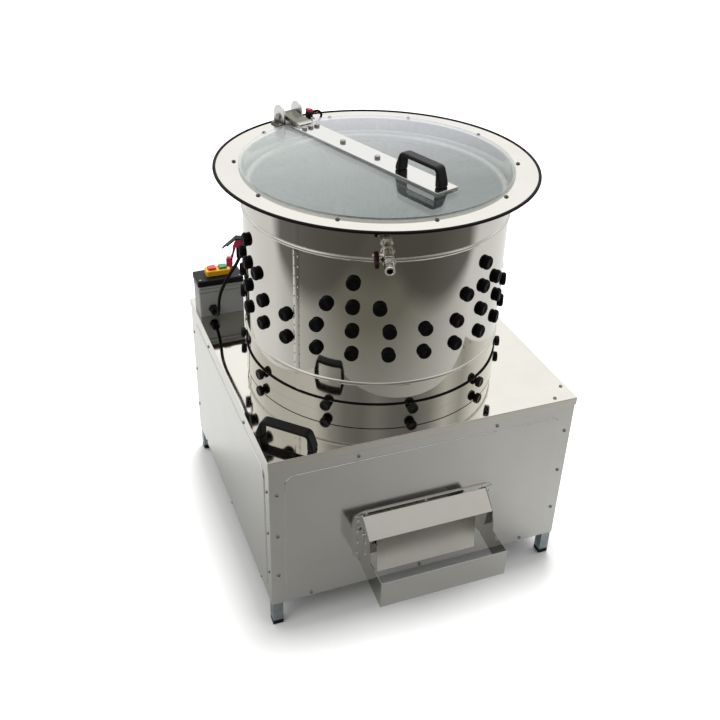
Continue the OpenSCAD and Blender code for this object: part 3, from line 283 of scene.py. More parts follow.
class Paint(Nodes):
    """One finish: a material with one shader."""

    def __init__(self, name):
        self.material = bpy.data.materials.new(name)
        self.material.use_nodes = True
        super().__init__(self.material.node_tree)
        skin = self.node("ShaderNodeBsdfPrincipled")
        self.shader = skin.socket.node
        self.node("ShaderNodeOutputMaterial", sockets={"Surface": skin})

    def wear(self, **sockets):
        """Sets the shader's own sockets: Base_Color for Base Color, and so on."""
        for key, value in sockets.items():
            self.feed(self.shader.inputs[key.replace("_", " ")], value)
        return self.material


# Finishes

def rgba(colour, by=1.0):
    return tuple(min(1.0, c * by) for c in colour) + (1.0,)


def sheet_steel(name, colour, haze, grain, ripple, smear):
    """Sheet steel: long polishing lines, finger smears and the slow ripple of thin rolled sheet."""
    paint = Paint(name)
    lines = paint.noise(1.0, 3.0, grain, 0.65)
    smears = paint.ramp(paint.noise(7.0, 4.0, rough=0.62), 0.42, 0.72)
    slow = paint.noise(4.2, 1.0)
    shade = paint.mix(smears * 0.5 + lines * 0.3, rgba(colour, 1.03), rgba(colour, 0.93))
    return paint.wear(Base_Color=shade, Metallic=1.0, Roughness=haze * 0.75 + lines * (haze * 0.5) + smears * smear,
                      Normal=paint.bump(slow * ripple + lines * (ripple * 0.01), 0.01))


def hinge_steel(name, colour, haze, hinge_shade, way, low, high):
    """Sheet steel with painted shade beside the hinge, brightening along a direction."""
    paint = Paint(name)
    lines = paint.noise(1.0, 3.0, (300, 300, 9), 0.6)
    shade = paint.mix(lines * 0.4, rgba(colour), rgba(colour, 0.94))
    # Painted shade beside the hinge: below low along the direction the sheet takes the shade colour, above high its
    # own.
    return paint.wear(Base_Color=paint.mix(paint.ramp(paint.along(way), low, high), rgba(hinge_shade), shade), Metallic=1.0,
                      Roughness=haze + lines * 0.06)


def turned_metal(name, colour, haze):
    """Plated or machined metal with fine tool marks and duller spots."""
    paint = Paint(name)
    marks = paint.noise(900.0, 2.0)
    spots = paint.ramp(paint.noise(60.0, 3.0), 0.45, 0.75)
    return paint.wear(Base_Color=paint.mix(spots, rgba(colour), rgba(colour, 0.78)), Metallic=1.0,
                      Roughness=haze + marks * 0.08 + spots * 0.12, Normal=paint.bump(marks, 0.000012))


def moulded(name, colour, haze, gloss=0.42, fade=1.35):
    """Moulded plastic: fine spark-eroded grain, faint flow marks and light scuffs."""
    paint = Paint(name)
    pits = paint.noise(1400.0, 2.0)
    flow = paint.noise(22.0, 3.0)
    scuffs = paint.ramp(paint.noise(55.0, 5.0, (1, 1, 3), 0.7), 0.58, 0.78)
    shade = paint.mix(scuffs * 0.6 + flow * 0.25, rgba(colour), rgba([c * fade + 0.004 for c in colour]))
    return paint.wear(Base_Color=shade, Roughness=haze + pits * 0.10 + scuffs * 0.14, Specular_IOR_Level=gloss,
                      Normal=paint.bump(pits, 0.00006))


def rubber(name, colour):
    """Black rubber: matt, with a dusty bloom and a fine moulded skin."""
    paint = Paint(name)
    skin = paint.noise(800.0, 3.0)
    bloom = paint.ramp(paint.noise(38.0, 4.0, rough=0.6), 0.45, 0.8)
    shade = paint.mix(bloom * 0.7, rgba(colour), rgba([c * 2.1 + 0.004 for c in colour]))
    return paint.wear(Base_Color=shade, Roughness=0.44 + bloom * 0.2 + skin * 0.08, Specular_IOR_Level=0.07,
                      Normal=paint.bump(skin, 0.00009))


def hazy_lid(name, colour, far, cover):
    """Clear lid sheet: very glossy and grey-green, with a painted reflection that lightens it towards its far side and
    turns mauve at the far right, and with faint wiped streaks.
    """
    paint = Paint(name)
    wipes = paint.ramp(paint.noise(5.0, 3.0, (1, 3, 1), 0.6), 0.35, 0.75)
    # Painted reflection: lighter towards the lid's far side and mauve at its far right.
    mauve = (far[0] * 1.3, far[1] * 1.14, far[2] * 1.42)
    pale = paint.mix(paint.ramp(paint.along((0.87, 0.5, 0)), -0.1, 0.3), rgba(far, 1.1), rgba(mauve))
    tone = paint.mix(paint.ramp(paint.along((-0.28, 0.96, 0)), -0.24, 0.26), rgba(colour), pale)
    return paint.wear(Base_Color=tone, Roughness=0.015 + wipes * 0.02, Alpha=cover + wipes * 0.04, IOR=5.0,
                      Specular_Tint=(0.93, 1.0, 0.97, 1.0))


def cast(name, colour, haze, metal):
    """Cast or painted metal with an orange peel skin and chipped, dusty spots."""
    paint = Paint(name)
    peel = paint.noise(420.0, 3.0)
    dust = paint.ramp(paint.noise(28.0, 5.0, rough=0.65), 0.45, 0.8)
    return paint.wear(Base_Color=paint.mix(dust, rgba(colour), rgba(colour, 1.35)), Metallic=metal,
                      Roughness=haze + dust * 0.2, Normal=paint.bump(peel, 0.0003))


def finish(name):
    """The named finish, mixed the first time it is asked for."""
    found = bpy.data.materials.get(name)
    if found:
        return found
    scene = bpy.context.scene
    steel, plastic, lid = scene.plucker_steel, scene.plucker_plastics, scene.plucker_lid
    # Painted shade: the dark colour of the hinge ears' lower part and of the strap's end beside the hinge.
    hinge_shade = (0.17, 0.168, 0.14)
    strap_way = (math.sin(lid.turn), -math.cos(lid.turn), 0)
    mixer, *values = {
        "mirror_sheet": (sheet_steel, steel.mirror, steel.mirror_haze, (9, 9, 14), 0.012, 0.03),
        "drum_sheet": (sheet_steel, steel.mirror, steel.mirror_haze, (4, 4, 420), 0.014, 0.03),
        "brushed_front": (sheet_steel, steel.brushed, steel.brushed_haze, (5, 5, 520), 0.008, 0.03),
        "satin_sheet": (sheet_steel, (0.86, 0.838, 0.77), 0.30, (9, 9, 14), 0.008, 0.04),
        "bright_metal": (turned_metal, (0.76, 0.75, 0.72), 0.16),
        "aged_metal": (turned_metal, (0.36, 0.355, 0.34), 0.2),
        "dark_metal": (turned_metal, (0.13, 0.128, 0.12), 0.22),
        "nickel": (turned_metal, (0.93, 0.90, 0.83), 0.15),
        "hinge_sheet": (hinge_steel, (0.95, 0.945, 0.92), 0.26, hinge_shade, (0, 0, 1), 0.966, 0.977),
        "strap_sheet": (hinge_steel, steel.brushed, 0.1, hinge_shade, strap_way, -0.272, -0.258),
        "satin_metal": (turned_metal, (0.92, 0.91, 0.88), 0.3),
        # Painted shade with a painted bluish reflection: the leg frame is darker and bluer than its steel.
        "zinc_legs": (turned_metal, (0.36, 0.415, 0.43), 0.3),
        "black_rubber_skin": (rubber, plastic.rubber),
        "black_moulding": (moulded, plastic.black, 0.34, 0.2),
        "red_moulding": (moulded, plastic.red, 0.30),
        "crimson_moulding": (moulded, plastic.crimson, 0.30),
        "dark_red_sleeve": (moulded, plastic.dark_red, 0.32, 0.2),
        "green_moulding": (moulded, plastic.green, 0.30),
        "yellow_moulding": (moulded, plastic.yellow, 0.33),
        "grey_moulding": (moulded, plastic.grey, 0.38, 0.42, 1.1),
        "hazy_lid_sheet": (hazy_lid, lid.tone, lid.far_reflection_tone, lid.cover),
        "cast_pulley": (cast, (0.13, 0.13, 0.135), 0.42, 0.8),
        "motor_enamel": (cast, (0.16, 0.19, 0.22), 0.36, 0.0),
    }[name]
    return mixer(name, *values)


# Making and placing pieces

def at(x, y, z):
    return Vector((x, y, z)) * MM


def shift(x, y, z):
    return Matrix.Translation(at(x, y, z))


def spin(degrees, axis):
    return Matrix.Rotation(math.radians(degrees), 4, axis)


def bearing(az, r, z):
    """Point at a bearing round the drum, radius and height in millimetres."""
    a = math.radians(az)
    return at(r * math.sin(a), -r * math.cos(a), z)


def place_out(az, r, z, down=0.0):
    """Frame whose Z axis points out of the drum at a bearing, tipped down by an angle in degrees."""
    a, d = math.radians(az), math.radians(down)
    out = Vector((math.sin(a) * math.cos(d), -math.cos(a) * math.cos(d), -math.sin(d)))
    side = Vector((math.cos(a), math.sin(a), 0))
    up = out.cross(side)
    turn = Matrix((side, up, out)).transposed().to_4x4()
    return Matrix.Translation(bearing(az, r, z)) @ turn


def put(name, data):
    """A new object in the scene."""
    thing = bpy.data.objects.new(name, data)
    bpy.context.scene.collection.objects.link(thing)
    return thing


def clean(bm, angle):
    """Closes a form's seams, turns its faces outwards and keeps edges above an angle sharp."""
    bmesh.ops.remove_doubles(bm, verts=bm.verts, dist=2e-6)
    bmesh.ops.recalc_face_normals(bm, faces=bm.faces)
    for edge in bm.edges:
        edge.smooth = len(edge.link_faces) == 2 and edge.calc_face_angle(0.0) < math.radians(angle)
    for face in bm.faces:
        face.smooth = True


def steady_normals(bm, mesh, angle):
    """Weighs each corner's normal by area, so that flat sheet stays flat beside its rounded edges."""
    near = math.cos(math.radians(angle))
    bm.normal_update()
    pull = {f: (f.normal.copy(), f.normal * f.calc_area()) for f in bm.faces}
    normals = []
    for face in bm.faces:
        own = pull[face][0]
        for corner in face.loops:
            total = Vector()
            for other in corner.vert.link_faces:
                flat, heavy = pull[other]
                if flat.dot(own) > near:
                    total += heavy
            normals.append(total.normalized() if total.length else own)
    mesh.normals_split_custom_set(normals)


def settle(name, mesh, node):
    """Puts a finished mesh in the scene, in place of the solid it stands for."""
    thing = put(name, mesh)
    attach(thing, body_of(NODES[node])[0])
    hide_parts(node)


def piece(name, bm, look, node, angle=35):
    clean(bm, angle)
    mesh = bpy.data.meshes.new(name)
    bm.to_mesh(mesh)
    steady_normals(bm, mesh, angle)
    bm.free()
    mesh.materials.append(finish(look))
    settle(name, mesh, node)


def soften(bm, edges, soft, steps):
    bmesh.ops.bevel(bm, geom=edges, offset=soft * MM, segments=steps, profile=0.5, affect="EDGES", clamp_overlap=False)


def dressed(name, node, look, soft, steps=2, angle=35):
    """The solid's own form with its cut edges rounded, so that they catch the light."""
    bm = bmesh.new()
    bm.from_mesh(NODES[node].data)
    bmesh.ops.remove_doubles(bm, verts=bm.verts, dist=1e-6)
    bmesh.ops.dissolve_limit(bm, angle_limit=math.radians(0.5), verts=bm.verts, edges=bm.edges)
    crisp = [e for e in bm.edges if len(e.link_faces) == 2 and e.calc_face_angle(0.0) > math.radians(angle)]
    soften(bm, crisp, soft, steps)
    piece(name, bm, look, node, angle + 10)


def lathe(bm, profile, place=Matrix(), steps=48):
    """Turns (radius, height[, sides]) points in millimetres about the frame's Z axis; radius 0 closes on the axis."""
    rings = []
    for point in profile:
        r, h = point[0] * MM, point[1] * MM
        sides = point[2] if len(point) > 2 else 0
        if r < 1e-9:
            rings.append([bm.verts.new(place @ Vector((0, 0, h)))])
            continue
        ring = []
        for k in range(steps):
            a = 2 * math.pi * k / steps
            flat = 1.0
            if sides:
                half = math.pi / sides
                flat = math.cos(half) / math.cos((a % (2 * half)) - half)
            ring.append(bm.verts.new(place @ Vector((r * flat * math.cos(a), r * flat * math.sin(a), h))))
        rings.append(ring)
    for low, high in zip(rings, rings[1:]):
        for k in range(steps):
            n = (k + 1) % steps
            corners = [low[k % len(low)], low[n % len(low)], high[n % len(high)], high[k % len(high)]]
            corners = list(dict.fromkeys(corners))
            if len(corners) > 2:
                bm.faces.new(corners)


def turned(name, profile, look, node, place=Matrix(), steps=48, angle=30):
    bm = bmesh.new()
    lathe(bm, profile, place, steps)
    piece(name, bm, look, node, angle)


def slab(bm, outline, low, high, soft, place, steps):
    """Outline in the frame's XY plane, in millimetres, raised from low to high with rounded edges."""
    base = [bm.verts.new(place @ at(x, y, low)) for x, y in outline]
    face = bm.faces.new(base)
    grown = bmesh.ops.extrude_face_region(bm, geom=[face])["geom"]
    tops = [g for g in grown if isinstance(g, bmesh.types.BMVert)]
    bmesh.ops.translate(bm, verts=tops, vec=place.to_3x3() @ at(0, 0, high - low))
    rims = list({e for v in base + tops for e in v.link_edges})
    soften(bm, [e for e in rims if e.calc_face_angle(0.0) > math.radians(30)], soft, steps)


def smooth_run(points, steps):
    """Catmull-Rom run through the points, with so many steps in each span."""
    ends = [points[0] * 2 - points[1]] + list(points) + [points[-1] * 2 - points[-2]]
    run = []
    for i in range(1, len(ends) - 2):
        a, b, c, d = ends[i - 1:i + 3]
        for k in range(steps):
            t = k / steps
            run.append(0.5 * (2 * b + (c - a) * t + (2 * a - 5 * b + 4 * c - d) * t * t
                              + (3 * b - a - 3 * c + d) * t ** 3))
    run.append(points[-1].copy())
    return run


def rounded_ring(w, h, soft, steps=4):
    """Points round a rectangle of width w and height h with rounded corners."""
    ring = []
    for cx, cy, first in ((1, 1, 0), (-1, 1, 90), (-1, -1, 180), (1, -1, 270)):
        for k in range(steps + 1):
            a = math.radians(first + 90 * k / steps)
            ring.append((cx * (w / 2 - soft) + soft * math.cos(a), cy * (h / 2 - soft) + soft * math.sin(a)))
    return ring


def stack(bm, sections, place):
    """Skin over rounded rectangles of (width, depth, height, corner) in millimetres, capped at both ends."""
    rings = [[bm.verts.new(place @ at(x, y, z)) for x, y in rounded_ring(w, d, soft)] for w, d, z, soft in sections]
    for low, high in zip(rings, rings[1:]):
        for k in range(len(low)):
            n = (k + 1) % len(low)
            bm.faces.new((low[k], low[n], high[n], high[k]))
    bm.faces.new(rings[0][::-1])
    bm.faces.new(rings[-1])


def stacked(name, sections, look, node, place):
    bm = bmesh.new()
    stack(bm, sections, place)
    piece(name, bm, look, node, 40)


# Pieces that repeat: one node tree seats a form on points

def seat_tree():
    """Node tree that seats a form of unit radius and height on points, along their aim and turned about it."""
    name = "Seat forms on points"
    if name in bpy.data.node_groups:
        return bpy.data.node_groups[name]
    tree = bpy.data.node_groups.new(name, "GeometryNodeTree")
    for plug, kind in (("Seats", "Geometry"), ("Form", "Object"), ("Radius", "Float"), ("Height", "Float"),
                       ("Finish", "Material")):
        tree.interface.new_socket(plug, in_out="INPUT", socket_type="NodeSocket" + kind)
    tree.interface.new_socket("Pieces", in_out="OUTPUT", socket_type="NodeSocketGeometry")
    nodes = Nodes(tree)

    def given(plug):
        return nodes.node("NodeGroupInput", out=plug)

    def named(kind, attribute):
        return nodes.node("GeometryNodeInputNamedAttribute", {"data_type": kind}, {"Name": attribute}, "Attribute")

    aim = nodes.node("FunctionNodeAlignRotationToVector", {"axis": "Z"}, {"Vector": named("FLOAT_VECTOR", "aim")})
    about = nodes.node("ShaderNodeCombineXYZ", sockets={"Z": named("FLOAT", "turn")})
    turn = nodes.node("FunctionNodeEulerToRotation", sockets={0: about})
    both = nodes.node("FunctionNodeRotateRotation", {"rotation_space": "LOCAL"}, {0: aim, 1: turn})
    form = nodes.node("GeometryNodeObjectInfo", {"transform_space": "ORIGINAL"},
                      {"As Instance": True, "Object": given("Form")}, "Geometry")
    wide = given("Radius")
    size = nodes.node("ShaderNodeCombineXYZ", sockets={"X": wide, "Y": wide, "Z": given("Height")})
    seat = nodes.node("GeometryNodeInstanceOnPoints",
                      sockets={"Points": given("Seats"), "Instance": form, "Rotation": both, "Scale": size})
    real = nodes.node("GeometryNodeRealizeInstances", sockets={0: seat})
    coat = nodes.node("GeometryNodeSetMaterial", sockets={"Geometry": real, "Material": given("Finish")})
    nodes.node("NodeGroupOutput", sockets={"Pieces": coat})
    return tree


def seated(name, form, seats, radius, height, look, node, angle=35):
    """Seats copies of a form on (point, aim, turn) seats as one plain mesh."""
    clean(form, angle)
    one = bpy.data.meshes.new(name + "_form")
    form.to_mesh(one)
    form.free()
    points = bpy.data.meshes.new(name + "_seats")
    points.from_pydata([s[0] for s in seats], [], [])
    points.attributes.new("aim", "FLOAT_VECTOR", "POINT")
    points.attributes.new("turn", "FLOAT", "POINT")
    aims, turns = points.attributes["aim"], points.attributes["turn"]
    for k, (_, aim, turn) in enumerate(seats):
        aims.data[k].vector = aim
        turns.data[k].value = turn
    pattern, host = put(name + "_form", one), put(name + "_host", points)
    tree = seat_tree()
    rule = host.modifiers.new("Seats", "NODES")
    rule.node_group = tree
    sizes = {"Form": pattern, "Radius": radius, "Height": height, "Finish": finish(look)}
    for plug in tree.interface.items_tree:
        if plug.in_out == "INPUT" and plug.name in sizes:
            rule[plug.identifier] = sizes[plug.name]
    graph = bpy.context.evaluated_depsgraph_get()
    mesh = bpy.data.meshes.new_from_object(host.evaluated_get(graph), depsgraph=graph)
    mesh.name = name
    host.modifiers.remove(rule)
    for thing in (host, pattern):
        data = thing.data
        bpy.data.objects.remove(thing)
        bpy.data.meshes.remove(data)
    settle(name, mesh, node)


def seat_out(az, r, z):
    """Seat at a bearing, radius and height, aimed out of the drum."""
    return bearing(az, r, z), bearing(az, 1, 0).normalized(), 0.0


def unit_form(steps, *turns):
    """Form of unit radius and height, turned from lists of (radius, height[, sides])."""
    form = bmesh.new()
    for rows in turns:
        lathe(form, [(r / MM, h / MM, *sides) for r, h, *sides in rows], steps=steps)
    return form


def button_head():
    """Flat domed screw head with a six-sided drive socket."""
    return unit_form(18, [(0, 0), (1, 0), (1, 0.22), (0.93, 0.55), (0.78, 0.84), (0.62, 1), (0.5, 1, 6),
                          (0.475, 0.45, 6), (0, 0.4)])


UP = Vector((0, 0, 1))
DOWN = Vector((0, 0, -1))


# Stage

def photo_camera(stage):
    """Stands the camera where the photograph was taken from."""
    y, p, r = stage.yaw, stage.pitch, stage.roll
    ahead = Vector((math.sin(y) * math.cos(p), math.cos(y) * math.cos(p), -math.sin(p)))
    right = Vector((math.cos(y), -math.sin(y), 0))
    up = right.cross(ahead)
    side = right * math.cos(r) + up * math.sin(r)
    top = up * math.cos(r) - right * math.sin(r)
    data = bpy.data.cameras.new("photo_camera")
    data.lens, data.sensor_width, data.sensor_height, data.sensor_fit = stage.lens, 36.0, 36.0, "HORIZONTAL"
    data.clip_start, data.clip_end = 0.05, 60.0
    camera = put("photo_camera", data)
    camera.matrix_world = Matrix.Translation(Vector(stage.eye)) @ Matrix((side, top, -ahead)).transposed().to_4x4()
    bpy.context.scene.camera = camera


def studio_floor(stage):
    """Lays the pale floor, which the steel mirrors as a painted reflection: dimmer, darker towards the camera and dark
    past set reaches; to the camera it glows with painted light that fades into a painted shadow near the cabinet.
    """
    bm = bmesh.new()
    bmesh.ops.create_grid(bm, x_segments=1, y_segments=1, size=14.0)
    mesh = bpy.data.meshes.new("studio_floor")
    bm.to_mesh(mesh)
    bm.free()
    paint = Paint("pale_floor")
    paper = paint.mix(paint.noise(0.7, 2.0), rgba(stage.floor, 0.985), rgba(stage.floor))
    sine, cosine = math.sin(stage.yaw), math.cos(stage.yaw)
    out = paint.along((-sine, -cosine, 0))
    across = paint.math("ABSOLUTE", paint.along((cosine, -sine, 0)))
    # Painted reflection: the floor that the steel mirrors turns dark past set reaches to either side and ahead towards
    # the camera.
    beside = paint.ramp(out * 0.64 + across * 0.77, stage.reflected_dark_aside, stage.reflected_dark_aside * 1.12)
    beside = beside * paint.ramp(out, -0.1, 0.35)
    beyond = paint.ramp(out, stage.reflected_dark_ahead, stage.reflected_dark_ahead * 1.14)
    mirrored = 1.0 - paint.node("ShaderNodeLightPath", out="Is Camera Ray")
    past_cabinet = paint.vector("SUBTRACT", paint.vector("ABSOLUTE", paint.spot()), (0.36, 0.36, 0))
    reach = paint.vector("LENGTH", paint.vector("MAXIMUM", past_cabinet), out="Value")
    # Painted reflection: the mirrored floor is dimmer than the floor seen straight, and darker towards the camera.
    shown = paint.mix(mirrored, paper, rgba(stage.floor, 0.68))
    dim = paint.mix(paint.ramp(out, 0.1, 1.5) * mirrored, shown, rgba((0.135, 0.128, 0.103)))
    dark = (beside * 0.9 + beyond * 0.72 - beside * beyond * 0.72) * mirrored
    # Painted light: seen straight, the floor glows, and the glow fades out near the cabinet into a painted shadow.
    lift = paint.ramp(reach, 0.02, 0.13) * (1.0 - mirrored)
    paint.wear(Base_Color=paint.mix(dark, dim, rgba((0.05, 0.046, 0.038))), Roughness=0.62,
               Emission_Color=paint.mix(lift, rgba((0, 0, 0)), rgba((0.5, 0.5, 0.5))), Emission_Strength=1.0)
    mesh.materials.append(paint.material)
    put("studio_floor", mesh)


def softbox(name, spot, aim, size, power):
    lamp = bpy.data.lights.new(name, "AREA")
    lamp.shape, lamp.size, lamp.energy = "SQUARE", size, power
    holder = put(name, lamp)
    turn = (Vector(aim) - Vector(spot)).to_track_quat("-Z", "Y").to_matrix().to_4x4()
    holder.matrix_world = Matrix.Translation(spot) @ turn
    holder.visible_glossy = False


# Brightness of the room's walls round the part, from one turn's start to its end
WALLS = ((0.0, 0.22), (0.04, 0.30), (0.08, 0.22), (0.12, 0.26), (0.16, 0.45), (0.20, 0.92), (0.30, 0.85), (0.42, 1.0),
         (0.62, 1.0), (0.74, 0.9), (0.80, 0.55), (0.85, 0.8), (0.90, 0.35), (0.95, 0.20), (1.0, 0.22))


def studio_room(stage):
    """Surrounds the part with walls and an overhead diffuser that only the steel sees, on white."""
    world = bpy.data.worlds.new("studio_room")
    bpy.context.scene.world = world
    world.use_nodes = True
    room = Nodes(world.node_tree)
    x, y, z = (room.node("ShaderNodeSeparateXYZ", sockets={0: room.spot("Generated")}, out=axis) for axis in "XYZ")
    heading = room.ramp(room.math("ARCTAN2", x, y), -math.pi, math.pi)
    stops = [(place, (grey, grey, grey * 0.985, 1)) for place, grey in WALLS]
    walls = room.node("ShaderNodeValToRGB", {"stops": stops}, {0: heading}, "Color")
    over = room.ramp(room.along((0.28, 0.52, 0.806), "Generated"), 0.55, 0.92, curve="SMOOTHSTEP")
    high = room.ramp(z, 0.62, 0.72, 0.33, "SMOOTHSTEP")
    lit = room.mix(room.math("MAXIMUM", over, high), walls, (stage.sky, stage.sky, stage.sky, 1))
    shown = room.mix(room.node("ShaderNodeLightPath", out="Is Camera Ray"), lit, (1, 1, 1, 1))
    glow = room.node("ShaderNodeBackground", sockets={"Color": shown, "Strength": 1.0})
    room.node("ShaderNodeOutputWorld", sockets={"Surface": glow})


class PLUCKER_OT_stage(Operator):
    """Sets the camera, the pale floor and the soft studio light"""
    bl_idname = "plucker.stage"
    bl_label = "Stage"

    def execute(self, context):
        stage = context.scene.plucker_stage
        photo_camera(stage)
        studio_floor(stage)
        softbox("key_softbox", (1.0, 2.1, 3.4), (0, 0, 0.4), 2.2, stage.key_power)
        softbox("fill_softbox", (-2.9, -1.3, 2.6), (0, 0, 0.5), 1.8, stage.fill_power)
        studio_room(stage)
        context.scene.view_settings.view_transform = "Standard"
        return {"FINISHED"}


# Pieces

# Heights that pieces stand on, in millimetres
CABINET_TOP = 486
FLANGE_TOP = 958
STRAP_TOP = 969.5

# Routes of the two leads, in millimetres
LOWER_ROUTE = ((-331, 245, 508), (-331, 233, 508), (-331, 220.9, 509.7), (-331, 209.7, 514.7), (-331, 200.3, 522.6),
               (-331, 193.5, 533), (-331, 188.4, 548), (-330.17, 182.78, 573), (-325.17, 175.28, 600),
               (-316.17, 165.28, 628), (-306.17, 152.28, 656.5), (-296.17, 137.28, 684.5), (-289.17, 119.78, 714))
UPPER_ROUTE = ((-50.79, 324.12, 972), (-42.28, 327.05, 972), (-29.04, 331.61, 972), (-21.48, 334.22, 969.86),
               (-15.94, 336.12, 964), (-13.92, 336.82, 956), (-15.94, 336.12, 948), (-21.48, 334.22, 942.14),
               (-29.04, 331.61, 940), (-38.16, 329.8, 940), (-51.94, 327.91, 940), (-74.68, 323.49, 940),
               (-102.59, 315.75, 940), (-135.04, 303.3, 940), (-166, 287.52, 940), (-195.14, 268.59, 940),
               (-219.99, 248.65, 940), (-237.13, 226.61, 934), (-248.52, 206.32, 914), (-251.72, 195.96, 885),
               (-251.49, 192.98, 853), (-250.7, 192.37, 821), (-251.24, 190.01, 791), (-256.9, 180.55, 765),
               (-268.01, 161.67, 751), (-286.3, 126.71, 749))


class PLUCKER_OT_leads(Operator):
    """Lays the safety circuit's two leads"""
    bl_idname = "plucker.leads"
    bl_label = "Leads"

    def execute(self, context):
        for name, route, thick, node, give in (("lower_lead_cable", LOWER_ROUTE, 8, "lower_lead", "stiff"),
                                               ("upper_lead_cable", UPPER_ROUTE, 6, "upper_lead", "limp")):
            run = smooth_run([at(*p) for p in route], 8)
            data = bpy.data.curves.new(name, "CURVE")
            data.dimensions, data.bevel_depth, data.bevel_resolution = "3D", thick * MM / 2, 4
            data.use_fill_caps = True
            line = data.splines.new("POLY")
            line.points.add(len(run) - 1)
            for point, spot in zip(line.points, run):
                point.co = (*spot, 1)
            line.use_smooth = True
            data.materials.append(finish("black_rubber_skin"))
            lead = put(name, data)
            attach(lead, "base")
            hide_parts(node)
            length = sum((b - a).length for a, b in zip(run, run[1:]))
        return {"FINISHED"}


class PLUCKER_OT_cabinet(Operator):
    """Builds the frame, feet, top plate and panels of the cabinet"""
    bl_idname = "plucker.cabinet"
    bl_label = "Cabinet"

    def execute(self, context):
        fold = context.scene.plucker_steel.fold / MM
        # The leg frame's finish is painted shade with a painted bluish reflection.
        dressed("leg_frame", "base_frame", "zinc_legs", fold)
        dressed("rubber_feet", "foot_pads", "black_moulding", fold, 3)
        dressed("polished_top", "top_plate", "mirror_sheet", fold, 3)
        for side in ("front", "back", "left", "right"):
            dressed(side + "_sheet", side + "_panel", "brushed_front", fold, 3)
        return {"FINISHED"}


def bridge_handle(bm, place):
    """Bridge handle with soft edges, its length along the frame's X axis and its feet on the frame's XY plane."""
    size = bpy.context.scene.plucker_handle
    half, high, wide = size.length / MM / 2, size.height / MM, size.width / MM
    bar, foot, lean = size.bar / MM, size.foot / MM, size.slope / MM
    under, shoulder, upright = high - bar, lean - half, foot - half
    outer = [(-half, 0), (-half, 6), (1 - half, 12), (shoulder - 3.6, high - 11), (shoulder - 1, high - 5.4),
             (shoulder + 3, high - 1.7), (shoulder + 9, high)]
    inner = [(upright, 0), (upright + 0.3, 8), (upright + 0.9, under - 7), (upright + 2.2, under - 3),
             (upright + 4.6, under - 0.7), (upright + 8, under)]
    outer += [(-x, z) for x, z in reversed(outer)]
    inner += [(-x, z) for x, z in reversed(inner)]
    slab(bm, outer + inner[::-1], -wide / 2, wide / 2, 3.2, place @ spin(90, "X"), 4)


class PLUCKER_OT_handles(Operator):
    """Builds the bridge handles on the lid and on the cabinet's corners"""
    bl_idname = "plucker.handles"
    bl_label = "Handles"

    def execute(self, context):
        bm = bmesh.new()
        for s in (-1, 1):
            bridge_handle(bm, shift(310 * s, 305 * s, CABINET_TOP) @ spin(-45, "Z"))
        piece("corner_carry_handles", bm, "black_moulding", "carry_handles", 50)
        bm = bmesh.new()
        over_lid = Matrix.Rotation(context.scene.plucker_lid.turn, 4, "Z")
        bridge_handle(bm, over_lid @ shift(0, -140.5, STRAP_TOP) @ spin(90, "Z"))
        piece("lid_grip", bm, "black_moulding", "lid_handle", 50)
        return {"FINISHED"}


# Lap seam, in millimetres: (low, high, thickness) of its strips between the beads, its width, and its rivets
LAP_STRIPS = ((521, 563, 0.5), (579, 863, 1.2), (879, 949, 0.5))
LAP_WIDTH = 16
RIVET_SEAT = 301.2
RIVET_SPAN = 591, 851
RIVET_APART = 1.019  # degrees from the seam's middle


